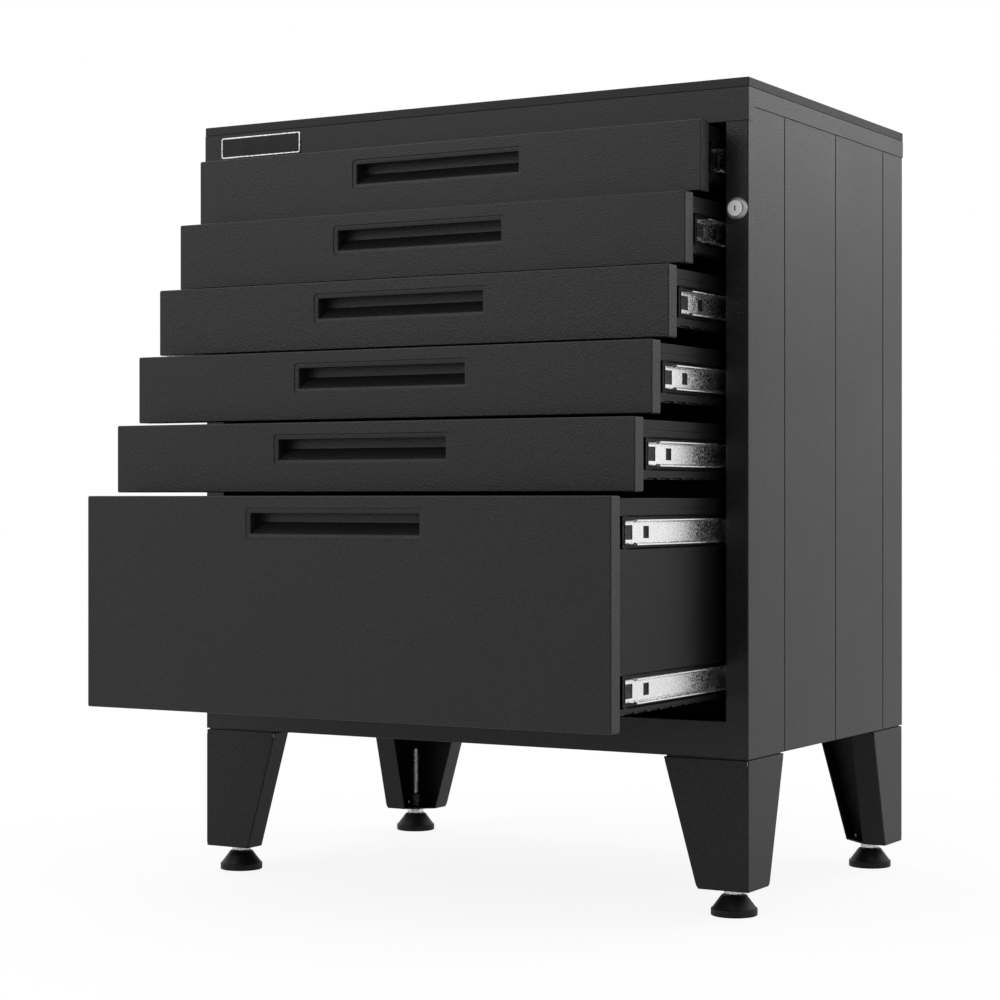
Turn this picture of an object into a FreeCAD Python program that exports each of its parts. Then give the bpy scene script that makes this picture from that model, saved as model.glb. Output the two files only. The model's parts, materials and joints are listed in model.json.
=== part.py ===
"""Six-drawer tool cabinet on four sheet-metal legs with levelling feet.

Axes while modelling: X to the right, Y from the front of the carcase to its back, Z up.
X is 0 on the middle of the cabinet, Y is 0 on the front of the corner posts, Z is 0 on the
floor.  The finished pieces are moved along Y at the end, so that the origin lies on the floor
under the middle of the whole outline with the drawers standing open as they are kept.
Every length is in millimetres.
"""

import FreeCAD, Part
import math
import os

from FreeCAD import Vector

# Carcase
cabinet_width = 711.2
cabinet_depth = 457.2
body_height = 714.2
carcase_sheet = 1.0
post_width = 26.2
post_return = 48.0
side_rear_flange = 15.0
sill_height = 39.5
sill_return = 15.0
floor_rear_flange = 17.5
header_height = 37.8
header_return = 16.0
side_band_height = 22.0
band_overhang = 1.0
header_overhang = 1.0
band_tab_foot = 6.1
band_tab_root = 15.4
cover_thickness = 8.0
cover_edge = 0.8
side_groove_places = (96.7, 243.3, 392.6)
side_groove_width = 1.6
side_groove_depth = 0.6
bend_radius = 0.8

# Rear uprights that carry the back ends of the slides
upright_sheet = 1.2
upright_depth = 34.0
upright_rear_room = 26.2

# Legs and levelling feet
leg_height = 139.7
leg_sheet = 2.0
leg_front_top = 98.0
leg_front_bottom = 60.0
leg_side_top = 94.4
leg_side_bottom = 55.8
leg_flange = 28.0
leg_inset = 0.5
leg_top_gap = 1.6
leg_pad_inset = 6.0
foot_offset = 30.0
pad_radius = 25.15
pad_top_radius = 13.4
pad_rim_height = 8.0
pad_height = 22.0
pad_edge = 0.8
pad_facets = 32
pad_socket_depth = 10.0
hex_height = 8.7
hex_across_flats = 19.0
stud_radius = 4.9
stud_length_above_hex = 79.0
screw_clearance = 0.08
nut_radius = 7.0
nut_height = 15.0
nut_facets = 20
leg_plate_hole = 5.6
seat_gap = 0.3

# Drawers: one module is the smallest drawer and the gap above the next
drawer_modules = (1, 1, 1, 1, 1, 3)
drawer_open = (52.6, 90.9, 129.5, 167.3, 205.7, 257.1)
module_pitch = 78.8
front_gap = 3.8
front_side_gap = 4.0
front_top_gap = 3.4
front_depth = 19.3
front_sheet = 1.0
front_edge = 0.9
front_back_lip = 7.0
box_sheet = 0.9
box_top_drop = 2.2
box_bottom_rises = (12.6, 12.6, 12.6, 12.6, 12.6, 15.8)
box_hem = 10.0
box_rear_gap = 5.0

# Recessed pull in each front
pull_slot_width = 210.6
pull_slot_height = 22.0
pull_slot_drop = 18.4
pull_bezel_margin = 5.5
pull_bezel_radius = 4.0
pull_bezel_depth = 1.0
pull_sheet = 0.8
pull_ramp_rise = 12.4
pull_head_room = 8.0
pull_flange = 5.0

# Ball-bearing slides: a cabinet member, a ball cage and a drawer member on each side
slide_thickness = 12.7
slide_sheet = 1.2
slide_drop = 36.5
slide_ball_radius = 2.25
slide_race_clearance = 0.07
slide_ball_offset = 6.0
slide_groove_half = 1.8
drawer_member_height = 25.2
drawer_member_lip = 0.9
drawer_member_front = 45.3
drawer_member_rear_gap = 10.7
drawer_member_notch = (15.4, 14.6)
drawer_member_window = (39.5, 12.6, 12.3)
cabinet_member_front = 22.0
cabinet_member_rear_gap = 8.0
cabinet_member_lip = 0.8
cage_sheet = 0.8
cage_web_gap = 0.3
cage_length = 150.0
cage_front_gap = 2.0
slide_travel = 300.0
slide_channel_depth = 3.0
slide_channel_half = 15.35
slide_channel_slope = 1.5
slide_relief_front = 31.0
slide_relief_back = 37.0

# Lock: a key cylinder in the right post, a rod to the back and a dropping bar with fingers
lock_below_body_top = 130.9
lock_flange_radius = 12.4
lock_face_radius = 9.6
lock_proud = 5.5
lock_flange_rim = 1.0
lock_shoulder_radius = 10.6
lock_shoulder = 4.2
lock_facets = 32
lock_barrel_radius = 9.9
lock_barrel_length = 22.0
lock_plug_radius = 8.6
lock_plug_clearance = 0.1
lock_nut_height = 4.0
lock_nut_across_flats = 22.5
keyway_width = 1.2
keyway_height = 6.0
keyway_depth = 9.0
lock_rod_radius = 4.0
crank_throw = 7.0
crank_plate = 3.0
crank_pin_radius = 2.0
crank_pin_clearance = 0.5
lock_bar_sheet = 2.0
lock_bar_edge_gap = 0.6
lock_bar_floor_gap = 25.0
finger_height = 5.0
finger_reach = 26.0
finger_engagement = 6.0
finger_floor_gap = 1.0
catch_sheet = 2.0
catch_drop = 12.0
catch_hook = 3.0
catch_foot = 12.0
catch_clearance = 2.5
guide_gap = 0.3
guide_sheet = 1.5
guide_height = 14.0
guide_foot = 10.0
guide_places = (0.16, 0.9)

# Places that follow from the sizes
half_width = cabinet_width / 2
body_bottom = pad_height + hex_height + seat_gap + leg_height
body_top = body_bottom + body_height
opening_top = body_top - header_height
post_inner = half_width - post_width
side_inner = half_width - carcase_sheet
back_inner = cabinet_depth - carcase_sheet
upright_back = back_inner - upright_rear_room
upright_front = upright_back - upright_depth
box_rear = upright_back - box_rear_gap
cabinet_member_length = upright_back - cabinet_member_rear_gap - cabinet_member_front
drawer_member_length = upright_back - drawer_member_rear_gap - drawer_member_front
front_half = post_inner - front_side_gap
slide_seat = post_inner - slide_thickness
box_half = slide_seat + slide_channel_depth
race_radius = slide_ball_radius + slide_race_clearance
race_sag = race_radius * (math.sqrt(2) - 1)
member_half = drawer_member_height / 2
ball_height = member_half - slide_groove_half + race_sag + race_radius
race_apex = ball_height + race_radius + race_sag
cage_half = ball_height + cage_sheet / 2
slot_bottom_drop = pull_slot_drop + pull_slot_height
crank_drop = crank_throw * math.sqrt(2)
lock_x = half_width - post_width / 2
lock_z = body_top - lock_below_body_top
crank_front = upright_back + guide_gap
bar_front = crank_front + crank_plate + guide_gap
bar_back = bar_front + lock_bar_sheet
bar_inner = post_inner + upright_sheet + lock_bar_edge_gap
bar_outer = side_inner - lock_bar_edge_gap
bar_low = body_bottom + lock_bar_floor_gap
bar_high = opening_top - lock_bar_edge_gap
catch_x = bar_inner - finger_reach + catch_sheet + catch_hook
outline_middle = (cabinet_depth + band_overhang - max(drawer_open)) / 2
FAR = 1000.0


def in_xz(y):
    """Map profile points (across, up) to the upright plane at depth y."""
    return lambda u, v: Vector(u, y, v)


def in_yz(x):
    """Map profile points (deep, up) to the side plane at x."""
    return lambda u, v: Vector(x, u, v)


def in_xy(z):
    """Map profile points (across, deep) to the level plane at z."""
    return lambda u, v: Vector(u, v, z)


def block(x0, x1, y0, y1, z0, z1):
    """Box between two opposite corners."""
    return Part.makeBox(x1 - x0, y1 - y0, z1 - z0, Vector(x0, y0, z0))


def plate(points, place, along):
    """Flat polygon through the points, extruded by the vector along."""
    corners = [place(u, v) for u, v in points]
    return Part.Face(Part.makePolygon(corners + corners[:1])).extrude(along)


def rounded_slab(u0, u1, v0, v1, radius, place, along):
    """Rectangle with quarter-round corners, extruded by the vector along."""
    k = radius * (1 - math.sqrt(0.5))
    turns = (
        ((u1 - radius, v0), (u1 - k, v0 + k), (u1, v0 + radius)),
        ((u1, v1 - radius), (u1 - k, v1 - k), (u1 - radius, v1)),
        ((u0 + radius, v1), (u0 + k, v1 - k), (u0, v1 - radius)),
        ((u0, v0 + radius), (u0 + k, v0 + k), (u0 + radius, v0)),
    )
    edges = []
    for turn, following in zip(turns, turns[1:] + turns[:1]):
        start, middle, end = (place(*point) for point in turn)
        edges.append(Part.Arc(start, middle, end).toShape())
        edges.append(Part.LineSegment(end, place(*following[0])).toShape())
    return Part.Face(Part.Wire(edges)).extrude(along)


def bent_sheet(points, thickness, inner_radius, place, along):
    """Folded sheet: a path of flat runs, thickened to its left and bent at each corner.

    inner_radius is the inside radius of every bend, or a list with one radius for each
    inner point of the path.  None leaves a corner sharp on both sides.
    """
    radii = inner_radius
    if not isinstance(radii, (list, tuple)):
        radii = [inner_radius] * (len(points) - 2)
    runs = []
    for (u0, v0), (u1, v1) in zip(points, points[1:]):
        length = math.hypot(u1 - u0, v1 - v0)
        runs.append(((u1 - u0) / length, (v1 - v0) / length))
    near = [[points[0]]]
    far = [[(points[0][0] - thickness * runs[0][1], points[0][1] + thickness * runs[0][0])]]
    for (u, v), before, after, radius in zip(points[1:-1], runs, runs[1:], radii):
        turn = math.atan2(before[0] * after[1] - before[1] * after[0],
                          before[0] * after[0] + before[1] * after[1])
        side = math.copysign(1.0, turn)
        if radius is None:
            miter = thickness * math.tan(turn / 2)
            near.append([(u, v)])
            far.append([(u - thickness * before[1] - miter * before[0],
                         v + thickness * before[0] - miter * before[1])])
            continue
        near_radius = radius + (thickness if side > 0 else 0.0)
        back = near_radius * abs(math.tan(turn / 2))
        start = (u - back * before[0], v - back * before[1])
        end = (u + back * after[0], v + back * after[1])
        centre = (start[0] - side * near_radius * before[1],
                  start[1] + side * near_radius * before[0])
        reach = math.hypot(u - centre[0], v - centre[1])
        out = ((u - centre[0]) / reach, (v - centre[1]) / reach)
        for line, size in ((near, near_radius), (far, near_radius - side * thickness)):
            shift = 0.0 if line is near else thickness
            line.append([
                (start[0] - shift * before[1], start[1] + shift * before[0]),
                (centre[0] + size * out[0], centre[1] + size * out[1]),
                (end[0] - shift * after[1], end[1] + shift * after[0]),
            ])
    near.append([points[-1]])
    far.append([(points[-1][0] - thickness * runs[-1][1],
                 points[-1][1] + thickness * runs[-1][0])])
    outline = near + [corner[::-1] for corner in reversed(far)]
    edges = []
    last = outline[-1][-1]
    for corner in outline:
        if math.dist(last, corner[0]) > 1e-6:
            edges.append(Part.LineSegment(place(*last), place(*corner[0])).toShape())
        if len(corner) == 3 and math.dist(corner[0], corner[2]) > 1e-6:
            edges.append(Part.Arc(*(place(*point) for point in corner)).toShape())
        last = corner[-1]
    return Part.Face(Part.Wire(edges)).extrude(along)


def rotation_to(direction):
    """Axis and angle in degrees that turn the Z axis to the direction."""
    turn = FreeCAD.Rotation(Vector(0, 0, 1), direction)
    return turn.Axis, math.degrees(turn.Angle)


def faceted(profile, sides, centre, direction):
    """Turned shape made of flat facets, which keeps a cone's mesh light.

    profile holds (radius, length) points from one end of the axis to the other.
    """
    rings = []
    for radius, length in profile:
        ring = []
        for step in range(sides):
            angle = 2 * math.pi * step / sides
            ring.append(Vector(radius * math.cos(angle), radius * math.sin(angle), length))
        rings.append(ring)
    faces = [Part.Face(Part.makePolygon(ring + ring[:1])) for ring in (rings[0], rings[-1])]
    for low, high in zip(rings, rings[1:]):
        for a, b, c, d in zip(low, low[1:] + low[:1], high[1:] + high[:1], high):
            faces.append(Part.Face(Part.makePolygon([a, b, c, d, a])))
    solid = Part.Solid(Part.Shell(faces))
    if solid.Volume < 0:
        solid.reverse()
    solid.rotate(Vector(0, 0, 0), *rotation_to(direction))
    solid.translate(centre)
    return solid


def frustum(low, high):
    """Solid with flat sides between a lower and an upper outline of four corners each."""
    faces = [Part.Face(Part.makePolygon(ring + ring[:1])) for ring in (low, high)]
    for a, b, c, d in zip(low, low[1:] + low[:1], high[1:] + high[:1], high):
        faces.append(Part.Face(Part.makePolygon([a, b, c, d, a])))
    solid = Part.Solid(Part.Shell(faces))
    if solid.Volume < 0:
        solid.reverse()
    return solid


def rod(radius, start, end):
    """Round bar from one point to another."""
    return Part.makeCylinder(radius, (end - start).Length, start, end - start)


def hexagon(across_flats, start, end, twist=0.0):
    """Hexagonal bar from one point to another, turned about its axis by twist degrees."""
    points = []
    for step in range(6):
        angle = math.radians(60 * step + twist)
        points.append(Vector(math.cos(angle), math.sin(angle), 0) * (across_flats / math.sqrt(3)))
    bar = Part.Face(Part.makePolygon(points + points[:1])).extrude(
        Vector(0, 0, (end - start).Length))
    bar.rotate(Vector(0, 0, 0), *rotation_to(end - start))
    bar.translate(start)
    return bar


def mirrored(shape):
    """The same piece on the other side of the cabinet."""
    return shape.mirror(Vector(0, 0, 0), Vector(1, 0, 0))


def both_sides(shape):
    """The piece and its mirror image, as two separate solids."""
    return [shape, mirrored(shape)]


def joined(first, *others):
    """One solid made of touching pieces."""
    return first.fuse(list(others)).removeSplitter()


def floor_wing():
    """Strip of the carcase floor that passes under the right corner post."""
    return block(post_inner, side_inner, carcase_sheet, back_inner - 2 * carcase_sheet,
                 body_bottom, body_bottom + carcase_sheet)


def side_panel(with_lock):
    """Right side: one sheet with the corner post folded on its front edge."""
    height = Vector(0, 0, opening_top - body_bottom)
    path = [
        (post_inner, post_return),
        (post_inner, 0),
        (half_width, 0),
        (half_width, back_inner),
        (half_width - side_rear_flange, back_inner),
    ]
    post = bent_sheet(path, carcase_sheet, [None, bend_radius, None], in_xy(body_bottom), height)
    upper = block(side_inner, half_width, 0, back_inner, opening_top, body_top - carcase_sheet)
    lock_hole = rod(lock_barrel_radius, Vector(lock_x, -1, lock_z),
                    Vector(lock_x, carcase_sheet + 1, lock_z))
    panel = joined(post, upper).cut(floor_wing())
    if with_lock:
        panel = panel.cut(lock_hole)
    for place in side_groove_places:
        groove = plate(
            [(half_width + 0.01, place - side_groove_width / 2),
             (half_width - side_groove_depth, place),
             (half_width + 0.01, place + side_groove_width / 2)],
            in_xy(body_bottom), Vector(0, 0, body_height - side_band_height))
        panel = panel.cut(groove)
    return panel


def bottom_panel():
    """Floor of the carcase, with the sill at its front and a flange up the back."""
    path = [
        (sill_return, body_bottom + sill_height),
        (0, body_bottom + sill_height),
        (0, body_bottom),
        (back_inner, body_bottom),
        (back_inner, body_bottom + floor_rear_flange),
    ]
    tray = bent_sheet(path, carcase_sheet, None,
                      in_yz(-post_inner), Vector(2 * post_inner, 0, 0))
    return joined(tray, *both_sides(floor_wing()))


def back_panel():
    """Flat back sheet between the legs' plane and the top."""
    return block(-half_width, half_width, back_inner, cabinet_depth,
                 body_bottom, body_top - carcase_sheet)


def top_frame():
    """Top pan: header over the drawers in front, a narrow band on the sides and back."""
    outer = half_width + band_overhang
    back = cabinet_depth + band_overhang
    front = -header_overhang
    lid = block(-outer, outer, front, back, body_top - carcase_sheet, body_top)
    path = [(front, body_top), (front, opening_top), (front + header_return, opening_top)]
    header = bent_sheet(path, carcase_sheet, None,
                        in_yz(-post_inner), Vector(2 * post_inner, 0, 0))
    band_foot = body_top - side_band_height
    wing = joined(
        plate([(front, opening_top), (band_tab_foot, opening_top), (band_tab_root, band_foot),
               (back, band_foot), (back, body_top), (front, body_top)],
              in_yz(half_width), Vector(band_overhang, 0, 0)),
        block(post_inner, outer, front, front + carcase_sheet, opening_top, body_top))
    rear = block(-outer, outer, cabinet_depth, back, band_foot, body_top)
    return joined(lid, header, wing, mirrored(wing), rear)


def top_cover():
    """Flat board that lies on the top pan, flush with it all round."""
    outer = half_width + band_overhang
    board = block(-outer, outer, -header_overhang, cabinet_depth + band_overhang,
                  body_top, body_top + cover_thickness)
    upper_edges = [edge for edge in board.Edges
                   if min(vertex.Z for vertex in edge.Vertexes) > body_top + cover_thickness / 2]
    return board.makeChamfer(cover_edge, upper_edges)


def rear_upright():
    """Right rear upright: a channel whose web carries the back ends of the slides."""
    path = [
        (side_inner, upright_back),
        (post_inner, upright_back),
        (post_inner, upright_front),
        (side_inner, upright_front),
    ]
    height = Vector(0, 0, opening_top - body_bottom - carcase_sheet)
    return bent_sheet(path, upright_sheet, None, in_xy(body_bottom + carcase_sheet), height)


def lock_upright():
    """Right rear upright with the holes for the lock rod and two guides for the lock bar."""
    hole = rod(lock_rod_radius + seat_gap, Vector(lock_x, upright_front - 1, lock_z),
               Vector(lock_x, upright_back + 1, lock_z))
    inner = bar_inner - guide_gap - guide_sheet
    path = [
        (side_inner, bar_back + guide_gap + guide_sheet),
        (inner, bar_back + guide_gap + guide_sheet),
        (inner, upright_back),
        (inner + guide_foot, upright_back),
    ]
    pieces = []
    for share in guide_places:
        foot = bar_low + share * (bar_high - bar_low)
        pieces.append(bent_sheet(path, guide_sheet, None, in_xy(foot),
                                 Vector(0, 0, guide_height)))
    return joined(rear_upright().cut(hole), *pieces)


def leg(x_side, y_side):
    """Sheet leg of two tapering walls with flanges, a foot plate and a top flange.

    x_side is 1 for the right legs and -1 for the left, y_side is 1 for the front pair.
    """
    foot = body_bottom - leg_height
    head = body_bottom - leg_top_gap

    def taper(inset, low, high):
        outlines = []
        for z in (low, high):
            share = (z - foot) / (head - foot)
            wide = leg_front_bottom + share * (leg_front_top - leg_front_bottom)
            deep = leg_side_bottom + share * (leg_side_top - leg_side_bottom)
            outlines.append([Vector(inset, inset, z), Vector(wide - inset, inset, z),
                             Vector(wide - inset, deep - inset, z), Vector(inset, deep - inset, z)])
        return frustum(*outlines)

    body = taper(0, foot, head).cut(taper(leg_sheet, foot + leg_sheet, head - leg_sheet))
    body = body.cut(block(leg_flange, FAR, leg_flange, FAR, foot + leg_sheet, head))
    pad = block(leg_pad_inset, leg_front_top - leg_pad_inset, leg_pad_inset, leg_flange,
                head, body_bottom)
    other_pad = block(leg_pad_inset, leg_flange, leg_pad_inset, leg_side_top - leg_pad_inset,
                      head, body_bottom)
    shape = joined(body, pad, other_pad)
    stud_place = foot_offset - leg_inset
    shape = shape.cut(rod(leg_plate_hole, Vector(stud_place, stud_place, foot - 1),
                          Vector(stud_place, stud_place, foot + leg_sheet + 1)))
    if x_side > 0:
        shape = mirrored(shape)
    shape.translate(Vector(x_side * (half_width - leg_inset), leg_inset, 0))
    if y_side < 0:
        shape = shape.mirror(Vector(0, cabinet_depth / 2, 0), Vector(0, 1, 0))
    return shape


def foot_places():
    """Names and (x, y) places of the four feet."""
    for y_name, y in (("front", foot_offset), ("rear", cabinet_depth - foot_offset)):
        for x_name, side in (("left", -1), ("right", 1)):
            yield f"{y_name}_{x_name}", side * (half_width - foot_offset), y


def foot_nut(x, y):
    """Threaded bush standing on the foot plate of a leg, without its thread."""
    foot = body_bottom - leg_height + leg_sheet
    outer = faceted([(nut_radius, 0), (nut_radius, nut_height)], nut_facets,
                    Vector(x, y, foot), Vector(0, 0, 1))
    return outer.cut(rod(stud_radius + screw_clearance, Vector(x, y, foot - 1),
                         Vector(x, y, foot + nut_height + 1)))


def foot_pad(x, y):
    """Moulded glide: a rim, a cone above it and a socket for the end of the stud."""
    profile = [
        (pad_radius - pad_edge, 0),
        (pad_radius, pad_edge),
        (pad_radius, pad_rim_height),
        (pad_top_radius, pad_height),
    ]
    pad = faceted(profile, pad_facets, Vector(x, y, 0), Vector(0, 0, 1))
    return pad.cut(rod(stud_radius + screw_clearance, Vector(x, y, pad_height - pad_socket_depth),
                       Vector(x, y, pad_height + 1)))


def foot_stud(x, y):
    """Levelling screw: a plain shank with a hexagon above the glide, without its thread."""
    hex_foot = pad_height + screw_clearance
    hex_head = pad_height + hex_height
    shank = rod(stud_radius, Vector(x, y, pad_height - pad_socket_depth + screw_clearance),
                Vector(x, y, hex_head + stud_length_above_hex))
    nut = hexagon(hex_across_flats, Vector(x, y, hex_foot), Vector(x, y, hex_head))
    return joined(shank, nut)


def drawer_front(top, modules):
    """Folded front pan of a drawer with the set-back panel and the slot of the pull."""
    height = modules * module_pitch - front_gap
    outer = block(-front_half, front_half, 0, front_depth, top - height, top)
    face_edges = [edge for edge in outer.Edges
                  if max(vertex.Y for vertex in edge.Vertexes) < front_sheet]
    outer = outer.makeChamfer(front_edge, face_edges)
    hollow = block(front_sheet - front_half, front_half - front_sheet, front_sheet,
                   front_depth - front_sheet, top - height + front_sheet, top - front_sheet)
    window = block(front_back_lip - front_half, front_half - front_back_lip, front_sheet,
                   front_depth + 1, top - height + front_back_lip, top - front_back_lip)
    pan = outer.cut([hollow, window])
    slot_half = pull_slot_width / 2
    bezel = [-slot_half - pull_bezel_margin, slot_half + pull_bezel_margin,
             top - slot_bottom_drop - pull_bezel_margin, top - pull_slot_drop + pull_bezel_margin]
    backing = block(bezel[0] - front_sheet, bezel[1] + front_sheet,
                    front_sheet, front_sheet + pull_bezel_depth,
                    bezel[2] - front_sheet, bezel[3] + front_sheet)
    recess = rounded_slab(*bezel, pull_bezel_radius, in_xz(0), Vector(0, pull_bezel_depth, 0))
    slot = block(-slot_half, slot_half, 0, front_depth,
                 top - slot_bottom_drop, top - pull_slot_drop)
    return joined(pan, backing).cut([recess, slot])


def drawer_pull(top):
    """Sheet pocket behind the slot: a ramp, a back wall, a ceiling and two closed ends."""
    slot_half = pull_slot_width / 2
    near = front_sheet + pull_bezel_depth
    far = front_depth - pull_sheet
    ramp_foot = top - slot_bottom_drop
    ramp_head = ramp_foot + pull_ramp_rise
    ceiling = top - pull_slot_drop + pull_head_room
    path = [
        (front_sheet, ceiling + pull_flange),
        (front_sheet, ceiling),
        (far, ceiling),
        (far, ramp_head),
        (near, ramp_foot),
        (near, ramp_foot - pull_flange),
    ]
    tray = bent_sheet(path, pull_sheet, None, in_yz(-slot_half), Vector(2 * slot_half, 0, 0))
    end = plate([(near, ramp_foot), (far + pull_sheet, ramp_head - pull_sheet),
                 (far + pull_sheet, ceiling + pull_sheet), (near, ceiling + pull_sheet)],
                in_yz(slot_half), Vector(pull_sheet, 0, 0))
    return joined(tray, *both_sides(end))


def slide_heights(top, modules):
    """Heights of the slide centres of a drawer: one, or two on a tall drawer."""
    upper = top - slide_drop
    return sorted({upper, upper - (modules - 1) * module_pitch}, reverse=True)


def drawer_box(top, modules, bottom_rise):
    """Sheet tray with a channel in each side for the slide and a catch for the lock."""
    height = modules * module_pitch - front_gap
    floor = top - height + bottom_rise
    rim = top - box_top_drop
    path = [(box_half, floor)]
    for centre in reversed(slide_heights(top, modules)):
        path += [
            (box_half, centre - slide_channel_half - slide_channel_slope),
            (slide_seat, centre - slide_channel_half),
            (slide_seat, centre + slide_channel_half),
            (box_half, centre + slide_channel_half + slide_channel_slope),
        ]
    path.append((box_half, rim))
    side = bent_sheet(path, box_sheet, None, in_xz(slide_relief_back),
                      Vector(0, box_rear - slide_relief_back, 0))
    ahead = block(box_half - box_sheet, box_half, front_depth, slide_relief_back, floor, rim)
    for centre in slide_heights(top, modules):
        reach = slide_channel_half + slide_channel_slope
        ahead = ahead.cut(block(slide_seat, box_half + 1, slide_relief_front,
                                slide_relief_back, centre - reach, centre + reach))
    hem = block(box_half - 2 * box_sheet, box_half - box_sheet, front_depth, box_rear,
                rim - box_hem, rim)
    pan = block(-box_half, box_half, front_depth, box_rear, floor, floor + box_sheet)
    front_wall = block(-box_half, box_half, front_depth, front_depth + box_sheet, floor, rim)
    rear_wall = block(-box_half, box_half, box_rear - box_sheet, box_rear, floor, rim)
    rear_hem = block(-box_half, box_half, box_rear - 2 * box_sheet, box_rear - box_sheet,
                     rim - box_hem, rim)
    for centre in slide_heights(top, modules):
        for sign in (-1, 1):
            gap = block(min(sign * slide_seat, sign * FAR), max(sign * slide_seat, sign * FAR),
                        box_rear - box_sheet, box_rear,
                        centre - slide_channel_half, centre + slide_channel_half)
            rear_wall = rear_wall.cut(gap)
    return joined(pan, front_wall, rear_wall, rear_hem, lock_catch(rim),
                  *both_sides(side), *both_sides(ahead), *both_sides(hem))


def lock_catch(rim):
    """Angle on the back of a drawer with a hook for the finger of the lock bar."""
    hook_top = rim - catch_drop
    notch_floor = hook_top - finger_engagement - finger_floor_gap
    tip = bar_back + catch_clearance + catch_hook
    path = [
        (catch_x - catch_foot, box_rear),
        (catch_x, box_rear),
        (catch_x, tip),
    ]
    angle = bent_sheet(path[::-1], catch_sheet, None, in_xy(notch_floor - catch_hook),
                       Vector(0, 0, hook_top - notch_floor + catch_hook))
    return angle.cut(block(catch_x - catch_sheet - 1, catch_x + catch_sheet + 1,
                           bar_front - catch_clearance,
                           bar_back + catch_clearance, notch_floor, hook_top + 1))


def in_slide(x, z):
    """Point of a slide section: x from the drawer face of the slide, z from its centre."""
    return (slide_seat + x, z)


def mirror_up(points):
    """Section path continued by its mirror image below the slide centre."""
    return points + [(u, -v) for u, v in reversed(points)]


def slide_section(points, thickness, centre, front, length):
    """Two slide pieces of a folded section, one on each side of the cabinet."""
    shape = bent_sheet(points, thickness, None, in_xz(front), Vector(0, length, 0))
    shape.translate(Vector(0, 0, centre))
    return both_sides(shape)


def cabinet_member(centre):
    """Outer slide rails: a channel with a ball race pressed into each flange."""
    flat = race_apex - slide_groove_half
    web = slide_thickness - slide_sheet
    half = [
        in_slide(slide_ball_offset - slide_groove_half - cabinet_member_lip, flat),
        in_slide(slide_ball_offset - slide_groove_half, flat),
        in_slide(slide_ball_offset, race_apex),
        in_slide(slide_ball_offset + slide_groove_half, flat),
        in_slide(web, flat),
    ]
    return slide_section(mirror_up(half), slide_sheet, centre,
                         cabinet_member_front, cabinet_member_length)


def drawer_member(centre):
    """Inner slide rails: a narrower channel with its races on the outside of the flanges."""
    half = [
        in_slide(slide_ball_offset + slide_groove_half + drawer_member_lip, member_half),
        in_slide(slide_ball_offset + slide_groove_half, member_half),
        in_slide(slide_ball_offset, member_half - slide_groove_half),
        in_slide(slide_ball_offset - slide_groove_half, member_half),
        in_slide(0, member_half),
    ]
    rails = slide_section(mirror_up(half), slide_sheet, centre,
                          drawer_member_front, drawer_member_length)
    notch_length, notch_height = drawer_member_notch
    window_start, window_length, window_height = drawer_member_window
    reach = slide_seat + slide_ball_offset / 2
    cuts = []
    for start, length, height in ((-1, notch_length + 1, notch_height),
                                  (window_start, window_length, window_height)):
        front = drawer_member_front + start
        cuts.append(block(-reach, reach, front, front + length,
                          centre - height / 2, centre + height / 2))
    return [rail.cut(cuts) for rail in rails]


def ball_cage(centre):
    """Ball retainers: a thin channel that runs between the two members at half speed."""
    web = slide_thickness - slide_sheet - cage_web_gap
    path = [
        in_slide(slide_ball_offset - slide_ball_radius, -cage_half),
        in_slide(web, -cage_half),
        in_slide(web, cage_half),
        in_slide(slide_ball_offset - slide_ball_radius, cage_half),
    ]
    front = cabinet_member_front + cage_front_gap + slide_travel / 2
    return slide_section(path, cage_sheet, centre, front, cage_length)


def lock_housing():
    """Lock body in the right post: a domed flange, a barrel and the nut behind the sheet."""
    profile = [
        (lock_flange_radius, 0),
        (lock_flange_radius, lock_flange_rim),
        (lock_shoulder_radius, lock_shoulder),
        (lock_face_radius, lock_proud),
    ]
    flange = faceted(profile, lock_facets, Vector(lock_x, 0, lock_z), Vector(0, -1, 0))
    barrel = faceted([(lock_barrel_radius, 0), (lock_barrel_radius, lock_barrel_length)],
                     lock_facets, Vector(lock_x, 0, lock_z), Vector(0, 1, 0))
    nut = hexagon(lock_nut_across_flats, Vector(lock_x, carcase_sheet, lock_z),
                  Vector(lock_x, carcase_sheet + lock_nut_height, lock_z), 30)
    bore = rod(lock_plug_radius + lock_plug_clearance, Vector(lock_x, -lock_proud - 1, lock_z),
               Vector(lock_x, lock_barrel_length + 1, lock_z))
    return joined(flange, barrel, nut).cut(bore)


def lock_plug():
    """Key cylinder with its keyway, the long rod behind it and the crank at its end."""
    def at(y, x=0.0, z=0.0):
        return Vector(lock_x + x, y, lock_z + z)

    face = -lock_proud + lock_plug_clearance
    plug = rod(lock_plug_radius, at(face), at(lock_barrel_length))
    keyway = block(lock_x - keyway_width / 2, lock_x + keyway_width / 2,
                   face - 1, face + keyway_depth,
                   lock_z - keyway_height / 2, lock_z + keyway_height / 2)
    bar = rod(lock_rod_radius, at(lock_barrel_length), at(crank_front))
    crank = rod(crank_throw + 2 * crank_pin_radius, at(crank_front),
                at(crank_front + crank_plate))
    side = crank_throw / math.sqrt(2)
    pin = rod(crank_pin_radius, at(crank_front + crank_plate, side, side),
              at(bar_back + guide_gap, side, side))
    return joined(plug.cut(keyway), bar, crank, pin)


def finger_foot(top):
    """Height of the underside of the finger that locks the drawer with this top."""
    return top - box_top_drop - catch_drop + crank_drop - finger_engagement


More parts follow.
